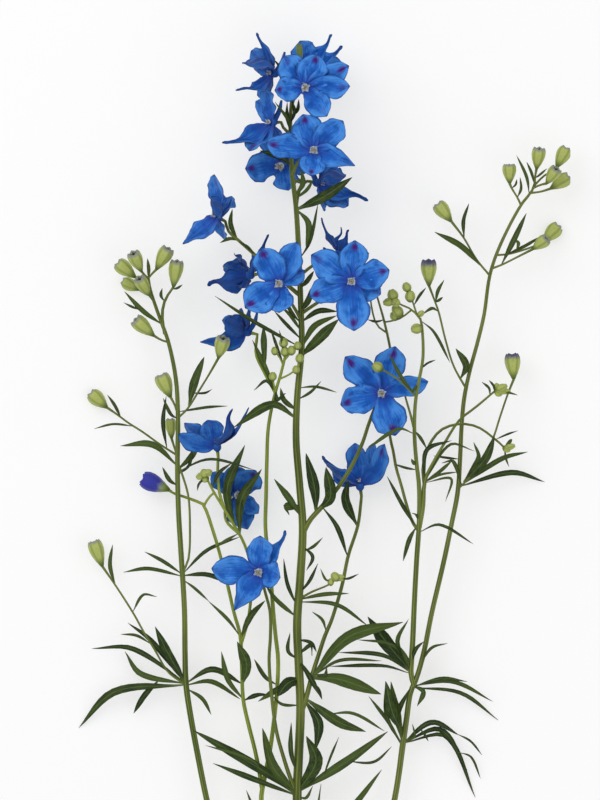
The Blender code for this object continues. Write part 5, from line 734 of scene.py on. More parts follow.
# A thin two-faced sheet: front and back rows, closed round its edge
def thinSheet(skin, rows, columns, surface, thickness, **marks):
    fronts = []
    backs = []
    rim = shapeLook["rim"]
    for row in range(rows + 1):
        v = row / rows
        front = []
        back = []
        for column in range(columns + 1):
            u = column / columns
            point, up = surface(u, v)
            half = up * thickness * (rim + (1 - rim) * (1 - (2 * u - 1) ** 4)) * 0.5
            front.append(skin.add(point + half, (u, v), front=1.0, **marks))
            back.append(skin.add(point - half, (u, v), front=0.0, **marks))
        fronts.append(front)
        backs.append(back)
    skin.grid(fronts, flip=True)
    skin.grid(backs)
    for near, far in zip(range(rows), range(1, rows + 1)):
        for column, turned in ((0, False), (columns, True)):
            face = (fronts[near][column], fronts[far][column], backs[far][column], backs[near][column])
            skin.faces.append(face[::-1] if turned else face)
    for row, turned in ((0, True), (rows, False)):
        for column in range(columns):
            face = (fronts[row][column], fronts[row][column + 1],
                    backs[row][column + 1], backs[row][column])
            skin.faces.append(face[::-1] if turned else face)


# Small helpers that keep the node trees readable
class Nodes:
    def __init__(self, tree):
        self.tree = tree

    def node(self, kind, inputs=None, **settings):
        made = self.tree.nodes.new(kind)
        for key, value in settings.items():
            setattr(made, key, value)
        for key, value in (inputs or {}).items():
            self.feed(made.inputs[key], value)
        return made

    def feed(self, socket, value):
        if isinstance(value, bpy.types.NodeSocket):
            self.tree.links.new(value, socket)
        else:
            socket.default_value = value

    def sum(self, operation, *values):
        made = self.node("ShaderNodeMath", operation=operation)
        for index, value in enumerate(values):
            self.feed(made.inputs[index], value)
        return made.outputs[0]


# A finish: colours and relief that end in one Principled surface
class Finish(Nodes):
    def __init__(self, name, roughness, **extra):
        self.material = bpy.data.materials.new(name)
        self.material.use_nodes = True
        super().__init__(self.material.node_tree)
        self.shader = self.tree.nodes["Principled BSDF"]
        self.shader.inputs["Roughness"].default_value = roughness
        for socket, value in extra.items():
            self.shader.inputs[socket.replace("_", " ")].default_value = value

    def mark(self, name):
        return self.node("ShaderNodeAttribute", attribute_name=name).outputs["Fac"]

    # u across and v along, from the piece's own UV map
    def place(self):
        where = self.node("ShaderNodeUVMap", uv_map="UVMap").outputs[0]
        split = self.node("ShaderNodeSeparateXYZ", {0: where})
        return split.outputs[0], split.outputs[1]

    def vector(self, x, y, z=0.0):
        return self.node("ShaderNodeCombineXYZ", {0: x, 1: y, 2: z}).outputs[0]

    # a place on a ring, so that noise round a piece has no seam
    def ring(self, turn, along, stretch):
        return self.vector(self.sum("SINE", turn), self.sum("COSINE", turn),
                           self.sum("MULTIPLY", along, stretch))

    def noise(self, vector, scale, detail=3.0, roughness=0.55):
        made = self.node("ShaderNodeTexNoise", {"Vector": vector, "Scale": scale, "Detail": detail,
                                                "Roughness": roughness})
        return made.outputs["Fac"]

    # value between low and high becomes 0 to 1
    def between(self, value, low, high):
        made = self.node("ShaderNodeMapRange", {0: value, 1: low, 2: high},
                         interpolation_type="SMOOTHSTEP")
        return made.outputs[0]

    def mix(self, share, first, second):
        made = self.node("ShaderNodeMix", data_type="RGBA")
        self.feed(made.inputs[0], share)
        for socket, color in ((made.inputs[6], first), (made.inputs[7], second)):
            self.feed(socket, color if isinstance(color, bpy.types.NodeSocket) else (*color, 1.0))
        return made.outputs[2]

    # lays a colour over another where the mask is, as strongly as given
    def over(self, under, color, mask, strength):
        return self.mix(self.sum("MULTIPLY", mask, strength), under, color)

    def close(self, color, height, strength, distance):
        self.feed(self.shader.inputs["Base Color"], color)
        bump = self.node("ShaderNodeBump", {"Strength": strength, "Distance": distance, "Height": height})
        self.feed(self.shader.inputs["Normal"], bump.outputs[0])
        return self.material


# A tree of Geometry Nodes: one shape and some named values in, one finished mesh out
class GrowTree(Nodes):
    def __init__(self, name, source, values):
        super().__init__(bpy.data.node_groups.new(name, "GeometryNodeTree"))
        face = self.tree.interface
        for label, kind in ((source, "Geometry"), *values, ("Finish", "Material")):
            face.new_socket(label, in_out="INPUT", socket_type="NodeSocket" + kind)
        face.new_socket("Skin", in_out="OUTPUT", socket_type="NodeSocketGeometry")
        self.given = self.node("NodeGroupInput").outputs

    def close(self, grown):
        real = self.node("GeometryNodeRealizeInstances", {0: grown})
        paint = self.node("GeometryNodeSetMaterial",
                          {"Geometry": real.outputs[0], "Material": self.given["Finish"]})
        self.node("NodeGroupOutput", {0: paint.outputs[0]})
        return self.tree


# Runs a tree on an object and leaves a plain mesh that rides on the plant
def settle(source, tree, values, name, node):
    modifier = source.modifiers.new("tree", "NODES")
    modifier.node_group = tree
    for item in tree.interface.items_tree:
        if item.in_out == "INPUT" and item.name in values:
            modifier[item.identifier] = values[item.name]
    bpy.context.view_layer.update()
    graph = bpy.context.evaluated_depsgraph_get()
    mesh = bpy.data.meshes.new_from_object(source.evaluated_get(graph))
    bpy.data.objects.remove(source)
    mesh.name = name
    show(mesh, name, node)


stemLook = {
    "step": 4.0, "sides": 14, "ribs": 7, "ribDepth": 0.035, "fill": 0.96,
    "trunkFill": 0.922, "trunkTop": -60,            # below this y the main stem is a little slimmer
    "foot": (-190.0, -186.0, -174.0, -160.0),       # the guessed straight foot of the main stem, along y
    "stalkStep": 3.0, "neckLength": 2.8, "neckRadius": 0.8, "endRadius": 0.95,
    "twigStep": 2.0,
    "budStalkStep": 2.5, "budStalkRadii": (0.62, 0.55, 0.75),
}
stemColors = {
    "main_stem": ((0.058, 0.088, 0.012), (0.120, 0.155, 0.030)),
    "left_lateral": ((0.064, 0.100, 0.014), (0.125, 0.165, 0.032)),
    "right_lateral": ((0.078, 0.110, 0.018), (0.145, 0.180, 0.042)),
    "right_inner_lateral": ((0.078, 0.112, 0.018), (0.145, 0.185, 0.040)),
    "centre_branch": ((0.125, 0.185, 0.020), (0.210, 0.280, 0.040)),
}
stemPaint = {
    "stretch": 14.0, "streakScale": 2.4, "patchScale": 22.0, "grainScale": 2600.0,
    "ridgeStrength": 0.75, "ridgeColor": (2.0, 1.7, 2.0),        # times the lighter green
    "grooveStrength": 0.5, "grooveColor": (0.45, 0.5, 0.45),     # times the darker green
}


def stemFinish(name, low, high):
    finish = Finish(name, 0.5, Specular_IOR_Level=0.2)
    turn = finish.sum("MULTIPLY", finish.mark("around"), 2 * math.pi)
    ring = finish.ring(turn, finish.mark("along"), stemPaint["stretch"])
    streaks = finish.noise(ring, stemPaint["streakScale"], 4.0)
    where = finish.node("ShaderNodeTexCoord").outputs["Object"]
    patches = finish.noise(where, stemPaint["patchScale"])
    color = finish.mix(finish.between(patches, 0.35, 0.68), low, high)
    # pale ridges and darker grooves run up the stem
    ridge = finish.sum("COSINE", finish.sum("MULTIPLY", turn, stemLook["ribs"]))
    pale = finish.between(finish.sum("MULTIPLY_ADD", ridge, 0.22, streaks), 0.45, 0.85)
    ridgeColor = [value * times for value, times in zip(high, stemPaint["ridgeColor"])]
    color = finish.over(color, ridgeColor, pale, stemPaint["ridgeStrength"])
    grooveColor = [value * times for value, times in zip(low, stemPaint["grooveColor"])]
    color = finish.over(color, grooveColor, finish.between(streaks, 0.48, 0.3), stemPaint["grooveStrength"])
    grain = finish.noise(where, stemPaint["grainScale"], 2.0)
    return finish.close(color, finish.sum("ADD", streaks, grain), 0.25, 0.0003)


# Skins curves with a ribbed round section and keeps where each point lies
def stemTree(name):
    tree = GrowTree(name, "Stems", (("Sides", "Int"), ("Ribs", "Int"), ("Rib Depth", "Float")))
    given = tree.given

    # the section: a circle pressed in between its ribs
    circle = tree.node("GeometryNodeCurvePrimitiveCircle", {"Radius": 1.0, "Resolution": given["Sides"]})
    share = tree.node("GeometryNodeSplineParameter").outputs["Factor"]
    wave = tree.sum("COSINE", tree.sum("MULTIPLY", tree.sum("MULTIPLY", share, given["Ribs"]), 2 * math.pi))
    press = tree.sum("MULTIPLY", tree.sum("SUBTRACT", 1.0, wave), given["Rib Depth"])
    spot = tree.node("GeometryNodeInputPosition").outputs[0]
    pressed = tree.node("ShaderNodeVectorMath", {0: spot, "Scale": tree.sum("SUBTRACT", 1.0, press)},
                        operation="SCALE")
    section = tree.node("GeometryNodeSetPosition",
                        {"Geometry": circle.outputs[0], "Position": pressed.outputs[0]})

    # keeps a place, round the section or along the stem, for the finish
    def store(label, geometry, value):
        made = tree.node("GeometryNodeStoreNamedAttribute",
                         {"Name": label, "Geometry": geometry, "Value": value},
                         data_type="FLOAT", domain="POINT")
        return made.outputs[0]

    length = tree.node("GeometryNodeSplineParameter").outputs["Length"]
    skin = tree.node("GeometryNodeCurveToMesh", {
        "Curve": store("along", given["Stems"], length),
        "Profile Curve": store("around", section.outputs[0], share),
        "Scale": tree.node("GeometryNodeInputRadius").outputs[0], "Fill Caps": True})
    smooth = tree.node("GeometryNodeSetShadeSmooth", {"Geometry": skin.outputs[0]})
    return tree.close(smooth.outputs[0])


# Where the stalk of a bloom ends, just behind the base of the bloom
def stalkEnd(name):
    middle, facing, sepals = bloomPlaces[name]
    return Vector(middle) + Vector(facing).normalized() * (bloomBody["base"][0][0] - clearance)


# All the stems, stalks and twigs of a node as paths of (x, y, z, radius)
def stemPaths(node):
    paths = [evenPath(route, stemLook["step"]) for route in stemRoutes.get(node, ())]
    if node == "main_stem":
        paths[0] = [(0.0, y, restHeight, trunkRadius) for y in stemLook["foot"]] + paths[0]
    for bloom, (owner, route) in stalkRoutes.items():
        if owner == node:
            end = stalkEnd(bloom)
            near = end - Vector(bloomPlaces[bloom][1]).normalized() * stemLook["neckLength"]
            seat = seatOn(paths, route[0][:3])
            route = ((*seat, route[0][3]), *route[1:], (*near, stemLook["neckRadius"]))
            paths.append(evenPath(route, stemLook["stalkStep"]) + [(*end, stemLook["endRadius"])])
    for route in twigRoutes.get(node, ()):
        seat = seatOn(paths, route[0][:3])
        paths.append(evenPath(((*seat, route[0][3]), *route[1:]), stemLook["twigStep"]))
    root, middle, end = stemLook["budStalkRadii"]
    for base, tip, width, route in budPlaces.get(node, ()):
        seat = seatOn(paths, route[0])
        route = [(*seat, root), *((*point, middle) for point in route[1:]), (*base, end)]
        paths.append(evenPath(route, stemLook["budStalkStep"]))
    return paths


def makeStems(node, tree):
    curve = bpy.data.curves.new("stemLines", "CURVE")
    curve.dimensions = "3D"
    for path in stemPaths(node):
        spline = curve.splines.new("POLY")
        spline.points.add(len(path) - 1)
        for point, spot in zip(spline.points, path):
            trunk = node == "main_stem" and spot[1] < stemLook["trunkTop"]
            fill = stemLook["trunkFill" if trunk else "fill"]
            point.co = (*((Vector(spot[:3]) + restOffset) * millimetre), 1.0)
            point.radius = spot[3] * fill * millimetre
    values = {"Sides": stemLook["sides"], "Ribs": stemLook["ribs"], "Rib Depth": stemLook["ribDepth"],
              "Finish": stemFinish(node + "Skin", *stemColors[node])}
    settle(newThing("stemLines", curve), tree, values, node + "_stems", node)


leafLook = {
    "rows": 14, "columns": 4, "thickness": 0.42, "fold": 0.25, "wave": 0.16, "waves": 11,
    "leanDegrees": 24, "fullness": 1.16, "rib": 0.12, "ribSharpness": 3, "seatSteps": 8,
    "outline": ((0.0, 0.2), (0.12, 0.38), (0.28, 0.78), (0.46, 1.0), (0.64, 0.96), (0.8, 0.68),
                (0.92, 0.32), (1.0, 0.04)),
}
leafColors = {"deep": (0.011, 0.028, 0.005), "fresh": (0.056, 0.092, 0.014), "rib": (0.130, 0.175, 0.050)}
leafPaint = {"patchScale": 1.6, "rib": 0.6, "sideVeins": 0.25, "veinCount": 60.0, "veinSlant": -26.0}


def leafFinish():
    finish = Finish("leafSkin", 0.55, Specular_IOR_Level=0.2)
    u, v = finish.place()
    shade = finish.mark("shade")
    stretched = finish.vector(finish.sum("MULTIPLY", u, 1.5), finish.sum("MULTIPLY", v, 5.0),
                              finish.sum("MULTIPLY", shade, 9.0))
    patches = finish.noise(stretched, leafPaint["patchScale"], 4.0)
    tone = finish.between(finish.sum("ADD", patches, finish.sum("MULTIPLY", shade, 0.5)), 0.45, 1.0)
    color = finish.mix(tone, leafColors["deep"], leafColors["fresh"])
    middle = finish.sum("ABSOLUTE", finish.sum("SUBTRACT", u, 0.5))
    rib = finish.between(middle, 0.07, 0.01)
    color = finish.over(color, leafColors["rib"], rib, leafPaint["rib"])
    slant = finish.sum("ADD", finish.sum("MULTIPLY", v, leafPaint["veinCount"]),
                       finish.sum("MULTIPLY", middle, leafPaint["veinSlant"]))
    sideVeins = finish.between(finish.sum("SINE", slant), 0.75, 1.0)
    color = finish.over(color, leafColors["rib"], sideVeins, leafPaint["sideVeins"])
    color = finish.mix(finish.between(v, 0.16, 0.0), color, leafColors["rib"])
    return finish.close(color, finish.sum("SUBTRACT", sideVeins, rib), 0.3, 0.0002)


# One narrow blade: a raised midrib, edges folded up and lightly waved
def addLeaf(skin, paths, number, base, middle, tip, width, shade):
    rows = leafLook["rows"]
    along = (Vector(tip) - Vector(base)).normalized()
    lean = math.radians(leafLook["leanDegrees"]) * math.sin(2.4 * number)
    facing = Vector((0, 0, 1)) + along.cross(Vector((0, 0, 1))) * math.tan(lean)
    spine = smoothPath((seatOn(paths, base), Vector(middle), Vector(tip)), rows)
    frames = pathFrames(spine, facing.normalized())
    phase = 2.6 * number + width

    def surface(u, v):
        spot, side, up = frames[round(v * rows)]
        edge = 2 * u - 1
        half = 0.5 * width * leafLook["fullness"] * tableValue(leafLook["outline"], v)
        lift = leafLook["fold"] * half * abs(edge)
        ripple = leafLook["wave"] * half * edge * math.sin(leafLook["waves"] * v + phase)
        rib = leafLook["rib"] * math.exp(-(edge * leafLook["ribSharpness"]) ** 2) * (1 - v)
        return spot + side * (edge * half) + up * (lift + ripple + rib), up

    thinSheet(skin, rows, leafLook["columns"], surface, leafLook["thickness"], shade=shade)


def makeLeaves(node, finish):
    chance = random.Random(node)
    skin = Skin("shade", "front")
    paths = stemPaths(node)
    for number, (owner, base, middle, tip, width) in enumerate(leafBlades):
        if owner == node:
            addLeaf(skin, paths, number, base, middle, tip, width, chance.random())
            paths.append(smoothPath((base, middle, tip), leafLook["seatSteps"]))
    skin.piece(node + "_leaves", node, finish)


# Outlines give (place, share of the width), and mouths (place, height, share of the width).
# The tints are for the buds with these x and y at their base.
budLook = {
    "sides": 20, "rows": 12, "lobes": 5, "lobeDepth": 0.07, "teeth": 0.035, "teethFrom": 0.6,
    "outline": ((0.0, 0.2), (0.1, 0.34), (0.26, 0.6), (0.48, 0.87), (0.68, 1.0), (0.84, 0.97),
                (0.94, 0.86), (1.0, 0.72)),
    "mouth": ((1.04, 0.97, 0.5), (1.12, 0.9, 0.24), (1.2, 0.86, 0.05)),
    "tints": {(64.6, 257.2): 1.0, (107.2, 210.4): 1.0, (-65.6, 154.8): 2.0, (0.4, 366.4): -1.0},
}
tinyBudLook = {
    "fullness": 1.2, "reach": 0.55, "top": 0.86, "tint": -0.18, "lobeShare": 0.8, "shortest": 0.6,
    "outline": ((0.0, 0.26), (0.08, 0.5), (0.22, 0.82), (0.42, 1.0), (0.6, 0.99), (0.76, 0.86),
                (0.9, 0.62), (1.0, 0.36)),
    "mouth": ((1.02, 0.99, 0.2), (1.04, 0.97, 0.04)),
}
budColors = {
    "stalk": (0.085, 0.135, 0.020),
    "pale": (0.420, 0.470, 0.130),
    "rib": (0.130, 0.200, 0.030),
    "lip": (0.260, 0.270, 0.250),
    # inside: the colour of painted shade in the hollow of a bud's mouth
    "inside": (0.030, 0.050, 0.015),
    "blue": (0.035, 0.040, 0.330),
    "dark": (0.075, 0.070, 0.150),
}


def budFinish():
    finish = Finish("budSkin", 0.55, Specular_IOR_Level=0.2)
    u, v = finish.place()
    turn = finish.sum("MULTIPLY", u, 2 * math.pi)
    ribs = finish.sum("COSINE", finish.sum("MULTIPLY", turn, budLook["lobes"]))
    specks = finish.noise(finish.ring(turn, v, 3.0), 3.0, 4.0)
    color = finish.mix(finish.between(v, 0.02, 0.40), budColors["stalk"], budColors["pale"])
    color = finish.over(color, budColors["rib"], finish.between(ribs, 0.2, 1.0), 0.45)
    color = finish.over(color, budColors["rib"], finish.between(specks, 0.5, 0.75), 0.3)
    lip = finish.between(finish.sum("MULTIPLY_ADD", specks, 0.12, v), 0.90, 1.02)
    color = finish.over(color, budColors["lip"], lip, 0.85)
    # tint -1 is a young dark green bud, 1 has its tip just turning dark, 2 is about to open in blue
    tint = finish.mark("tint")
    color = finish.over(color, budColors["stalk"], finish.between(tint, 0.0, -1.0), 0.8)
    tip = finish.between(finish.sum("ADD", v, finish.sum("MULTIPLY", specks, 0.25)), 0.80, 1.10)
    color = finish.over(color, budColors["dark"], tip, finish.between(tint, 0.2, 1.0))
    body = finish.between(finish.sum("ADD", v, finish.sum("MULTIPLY", specks, 0.3)), 0.28, 0.62)
    color = finish.over(color, budColors["blue"], body, finish.between(tint, 1.2, 2.0))
    # painted shade: the inward-turned mouth of a bud is darkened to near-black green
    color = finish.mix(finish.between(v, 1.02, 1.12), color, budColors["inside"])
    return finish.close(color, finish.sum("ADD", ribs, specks), 0.3, 0.0003)


# A bud of five folded sepals: club-shaped with small points round its open mouth, or tiny and round
def addBud(skin, base, tip, width, tint, tiny=False):
    base = Vector(base)
    along = Vector(tip) - base
    side = along.cross(Vector((0.3, 0.2, 1))).normalized()
    up = along.cross(side).normalized()
    shape = tinyBudLook if tiny else budLook
    top = tinyBudLook["top"] if tiny else 1.0
    lobeShare = tinyBudLook["lobeShare"] if tiny else 1.0
    shares = [row / budLook["rows"] for row in range(budLook["rows"] + 1)]
    levels = [(share, share, tableValue(shape["outline"], share)) for share in shares]
    rows = []
    for v, height, share in (*levels, *shape["mouth"]):
        row = []
        for corner in range(budLook["sides"]):
            angle = 2 * math.pi * corner / budLook["sides"]
            lobe = math.cos(budLook["lobes"] * angle) * lobeShare
            reach = 0.5 * width * share * (1 + budLook["lobeDepth"] * lobe * min(v, 1.0))
            tooth = max(min(v, 1.1) - budLook["teethFrom"], 0.0) / (1 - budLook["teethFrom"])
            rise = height + budLook["teeth"] * lobe * tooth
            around = side * math.cos(angle) + up * math.sin(angle)
            spot = base + along * rise + around * reach
            row.append(skin.add(spot, (corner / budLook["sides"], v * top), tint=tint))
        rows.append(row)
    skin.tube(rows)


def makeBuds(node, finish):
    skin = Skin("tint")
    for base, tip, width, route in budPlaces.get(node, ()):
        addBud(skin, base, tip, width, budLook["tints"].get(base[:2], 0.0))
    paths = stemPaths(node)
    for middle, width in tinyBudPlaces.get(node, ()):
        along = Vector(middle) - seatOn(paths, middle)
        width *= tinyBudLook["fullness"]
        reach = tinyBudLook["reach"] * width
        way = (along if along.length > tinyBudLook["shortest"] else Vector((0, 1, 0.2))).normalized()
        base = Vector(middle) - way * max(along.length, reach)
        addBud(skin, base, Vector(middle) + way * reach, width, tinyBudLook["tint"], tiny=True)
    if skin.points:
        skin.piece(node + "_buds", node, finish)


sepalColors = {
    "azure": (0.008, 0.115, 0.520),
    # light: the sepals' paler streaks, and also a painted highlight on the broad patches
    "light": (0.070, 0.290, 0.800),
    "navy": (0.003, 0.026, 0.200),
    # the colour of painted shade on blooms seen from the side or back
    "dusk": (0.006, 0.045, 0.230),
    "violet": (0.030, 0.035, 0.330),
    "blotch": (0.060, 0.010, 0.180),
    "backStripe": (0.050, 0.080, 0.200),
}
# How strongly each mark of a sepal shows, from 0 to 1
sepalPaint = {
    # among these, the shade of folds and the shade of turned blooms are painted shade
    "foldShade": 0.4, "vein": 0.3, "rim": 0.7, "root": 0.6, "middle": 0.45, "tip": 0.8,
    "back": 0.55, "backStripe": 0.5, "dusk": 0.75, "tail": 0.6,
}


def sepalFinish():
    finish = Finish("sepalSkin", 0.6, Sheen_Weight=0.08, Specular_IOR_Level=0.12)
    navy = sepalColors["navy"]
    violet = sepalColors["violet"]
    u, v = finish.place()
    shade = finish.mark("shade")
    # streaks and veins fan out from the root, over broad patches of painted highlight and painted shade
    # where the sepals fold
    fan = finish.sum("MULTIPLY", finish.sum("SUBTRACT", u, 0.5), 9.0)
    streaks = finish.noise(finish.vector(fan, finish.sum("MULTIPLY", v, 1.1), shade), 2.6, 5.0, 0.62)
    veins = finish.noise(finish.vector(finish.sum("MULTIPLY", fan, 4.0), v, shade), 2.2, 2.0)
    broad = finish.noise(finish.vector(u, finish.sum("MULTIPLY", v, 1.6), shade), 2.3, 2.0)
    side = finish.sum("ABSOLUTE", finish.sum("SUBTRACT", u, 0.5))
    outer = finish.sum("MULTIPLY_ADD", side, 0.5, finish.sum("MULTIPLY", v, 0.35))
    # lighter with the broad patches, the streaks and towards the edges and tip: the streaks are the sepal's
    # own paler colour, the broad patches a painted highlight
    light = finish.sum("ADD", finish.sum("MULTIPLY", broad, 0.7), finish.sum("MULTIPLY", streaks, 0.65))
    light = finish.between(finish.sum("ADD", light, outer), 0.80, 1.20)
    color = finish.mix(light, sepalColors["azure"], sepalColors["light"])
    # painted shade: the darker side of the broad patches turns towards navy, for shade in the folds
    color = finish.over(color, navy, finish.between(broad, 0.48, 0.26), sepalPaint["foldShade"])
    color = finish.over(color, navy, finish.between(veins, 0.56, 0.72), sepalPaint["vein"])
    rim = finish.between(finish.sum("MULTIPLY_ADD", broad, 0.10, side), 0.46, 0.55)
    color = finish.over(color, navy, rim, sepalPaint["rim"])
    color = finish.over(color, violet, finish.between(v, 0.34, 0.02), sepalPaint["root"])
    middle = finish.sum("MULTIPLY", finish.between(side, 0.05, 0.0), finish.between(v, 0.8, 0.3))
    color = finish.over(color, violet, middle, sepalPaint["middle"])
    color = finish.over(color, navy, finish.between(v, 0.93, 1.0), sepalPaint["tip"])
    # dark blotch just inside the tip of some sepals
    across = finish.sum("MULTIPLY", finish.sum("SUBTRACT", u, 0.5), 0.75)
    along = finish.sum("SUBTRACT", v, 0.84)
    reach = finish.sum("SQRT", finish.sum("ADD", finish.sum("MULTIPLY", across, across),
                                          finish.sum("MULTIPLY", along, along)))
    wobble = finish.sum("MULTIPLY_ADD", streaks, 0.14, reach)
    blotch = finish.sum("MULTIPLY", finish.between(wobble, 0.24, 0.10), finish.mark("spot"))
    color = finish.mix(blotch, color, sepalColors["blotch"])
    # backs are darker, with a dull stripe down the middle
    behind = finish.mix(sepalPaint["back"], color, navy)
    stripe = finish.between(side, 0.16, 0.02)
    behind = finish.over(behind, sepalColors["backStripe"], stripe, sepalPaint["backStripe"])
    color = finish.mix(finish.between(finish.mark("front"), 0.4, 0.6), behind, color)
    # blooms seen from the side get painted shade, duller and darker, and tails end nearly black
    color = finish.over(color, sepalColors["dusk"], finish.mark("dusk"), sepalPaint["dusk"])
    ending = finish.sum("MULTIPLY", finish.between(v, 0.5, 0.85), finish.mark("tail"))
    color = finish.over(color, navy, ending, sepalPaint["tail"])
    return finish.close(color, finish.sum("ADD", veins, streaks), 0.35, 0.0004)


sepalLook = {
    "rows": 20, "columns": 14, "thickness": 0.45, "layer": -0.45, "opening": 6.0,
    "belly": (0.4, 0.06), "shoulder": (0.8, 0.03),    # shares of the length: how far out, how far back
    "fold": 0.22, "wave": 0.09, "waves": 13.0, "pleat": 0.028, "pleats": 9.5,
    "frill": 0.10, "frills": 19, "ragged": 0.075, "tipCurl": 0.7, "tailCurl": 2.4, "curls": 9,
    "outline": ((0.0, 0.2), (0.08, 0.38), (0.2, 0.68), (0.36, 0.9), (0.52, 1.0), (0.68, 0.98),
                (0.8, 0.84), (0.9, 0.56), (0.96, 0.28), (1.0, 0.05)),
    "taperOutline": ((0.0, 0.25), (0.12, 0.66), (0.26, 0.98), (0.4, 0.96), (0.56, 0.74), (0.74, 0.44),
                     (0.9, 0.2), (1.0, 0.04)),
    "tailOutline": ((0.0, 0.2), (0.1, 0.46), (0.2, 0.8), (0.32, 1.0), (0.44, 0.9), (0.54, 0.62),
                    (0.64, 0.34), (0.76, 0.2), (0.9, 0.16), (0.96, 0.2), (1.0, 0.08)),
    "tails": {"outline": 0.0, "taperOutline": 0.5, "tailOutline": 1.0},    # how much of a tail each is
}
# Sepals, by number, that taper evenly to a sharp tip
tapered = {"bloom_08": (2,), "bloom_13": (0,), "bloom_18": (4,), "bloom_05": (2,)}
# Sepals, by number, of sideways blooms that turn their broad face up
turnedUp = {"bloom_13": (0,), "bloom_15": (0, 2), "bloom_16": (3,)}
# Painted shade: how much duller and darker a bloom is painted, where it is seen from its side or back
turnedShades = {"bloom_01": 0.5, "bloom_04": 0.35, "bloom_06": 0.2, "bloom_07": 0.45, "bloom_08": 0.25,
         "bloom_09": 0.75, "bloom_12": 0.6, "bloom_13": 0.75, "bloom_15": 0.45, "bloom_16": 0.5,
         "bloom_17": 0.4}
# Sepals, by number, that carry a strong dark blotch
blotches = {
    "bloom_02": (1, 2, 5), "bloom_04": (2,), "bloom_05": (0, 3, 4), "bloom_06": (0,),
    "bloom_10": (0, 4), "bloom_11": (1, 2, 4, 5), "bloom_14": (0, 1, 3, 4), "bloom_15": (0,),
    "bloom_17": (0,),
}


# One sepal from its narrow claw to its small point, cupped forwards and lightly pleated
def addSepal(skin, middle, facing, tip, width, layer, outline, up, phase, **marks):
    reach = Vector(tip) - middle
    forwards = facing.dot(reach.normalized())
    normal = (facing - reach.normalized() * forwards).normalized()
    outward = (reach - facing * facing.dot(reach)).normalized()
    opening = outward * sepalLook["opening"] * max(forwards - 0.35, 0.0)
    start = middle + facing * layer
    out, back = sepalLook["belly"]
    belly = start + reach * out - normal * back * reach.length + opening
    out, back = sepalLook["shoulder"]
    shoulder = start + reach * out - normal * back * reach.length
    rows = sepalLook["rows"]
    spine = smoothPath((start + opening * 0.3, belly, shoulder, Vector(tip)), rows)
    frames = pathFrames(spine, up or normal)
    curlSize = sepalLook["tailCurl" if outline == "tailOutline" else "tipCurl"]

    def surface(u, v):
        spot, side, up = frames[round(v * rows)]
        edge = 2 * u - 1
        wander = math.sin(7 * v + phase * edge) + 0.6 * math.sin(17 * v + 2 * phase * edge)
        ragged = 1 + sepalLook["ragged"] * wander * abs(edge)
        half = 0.5 * width * tableValue(sepalLook[outline], v) * ragged
        curl = curlSize * max(v - 0.5, 0.0) * math.sin(sepalLook["curls"] * v + phase)
        lift = sepalLook["fold"] * half * abs(edge) ** 1.6
        ripple = sepalLook["wave"] * half * edge * math.sin(sepalLook["waves"] * v + width)
        frill = math.sin(sepalLook["frills"] * v + phase + edge * 2)
        frill *= sepalLook["frill"] * half * abs(edge) ** 4
        pleat = math.cos(edge * sepalLook["pleats"]) * math.sin(math.pi * v) ** 0.5
        pleat *= sepalLook["pleat"] * width
        return spot + side * (edge * half + curl) + up * (lift + ripple + frill + pleat), up

    thinSheet(skin, rows, sepalLook["columns"], surface, sepalLook["thickness"], **marks)


bloomBody = {
    # the base where the sepals grow together: places along the facing, with a radius for each
    "base": ((-3.2, 1.0), (-2.7, 1.5), (-1.9, 2.05), (-0.9, 2.2), (0.2, 2.1), (1.1, 1.75)),
    "baseTop": 1.2, "baseSides": 14, "baseShade": 3.0,
    # the spur behind it: shares of its length back and upwards, with a radius for each
    "spur": ((0.0, 0.0, 1.5), (0.24, 0.48, 1.2), (0.3, 0.93, 0.55)),
    "spurRoot": 1.2, "spurLength": 12.0, "shortSpur": 0.6, "spurRise": (0, 1, 0.25),
    "spurSteps": 10, "spurSides": 10, "spurShade": 6.0,
}


def makeBloom(name, finish):
    chance = random.Random(name)
    middle, facing, sepals = bloomPlaces[name]
    middle = Vector(middle)
    facing = Vector(facing).normalized()
    skin = Skin("shade", "spot", "front", "tail", "dusk")
    # painted shade for a bloom seen from its side or back
    dusk = turnedShades.get(name, 0.0)
    for number, (tip, width) in enumerate(sepals):
        spot = 1.0 if number in blotches.get(name, ()) else 0.5 * chance.random()
        outline = "tailOutline" if number in tailedSepals.get(name, ()) else "outline"
        if number in tapered.get(name, ()):
            outline = "taperOutline"
        up = Vector((0, 0, 1)) if number in turnedUp.get(name, ()) else None
        layer = sepalLook["layer"] * (number % 2)
        phase = 6 * chance.random()
        shade = 10 * chance.random()
        addSepal(skin, middle, facing, tip, width, layer, outline, up, phase,
                 shade=shade, spot=spot, dusk=dusk, tail=sepalLook["tails"][outline])
    base = [(*(middle + facing * along), radius) for along, radius in bloomBody["base"]]
    roundBody(skin, base, bloomBody["baseSides"], shade=bloomBody["baseShade"], dusk=dusk)
    rise = Vector(bloomBody["spurRise"])
    rise = rise - facing * facing.dot(rise)
    length = bloomBody["spurLength"]
    # a bloom that faces along the plant has a shorter spur, bent towards the table
    if rise.length < 0.5:
        rise = Vector((0, 0, -1)) + facing * facing.z
        length *= bloomBody["shortSpur"]
    rise.normalize()
    root = middle - facing * bloomBody["spurRoot"]
    spur = [(*(root - facing * back * length + rise * out * length), radius)
            for back, out, radius in bloomBody["spur"]]
    spur = smoothPath(spur, bloomBody["spurSteps"])
    roundBody(skin, spur, bloomBody["spurSides"], shade=bloomBody["spurShade"], dusk=dusk)
    skin.piece(name + "_sepals", name, finish)


# A plain finish for small pieces: one colour grained with another
def grainFinish(name, low, high, roughness, scale):
    finish = Finish(name, roughness, Sheen_Weight=0.15)
    grain = finish.noise(finish.node("ShaderNodeTexCoord").outputs["Object"], scale)
    return finish.close(finish.mix(finish.between(grain, 0.35, 0.65), low, high), grain, 0.2, 0.0002)


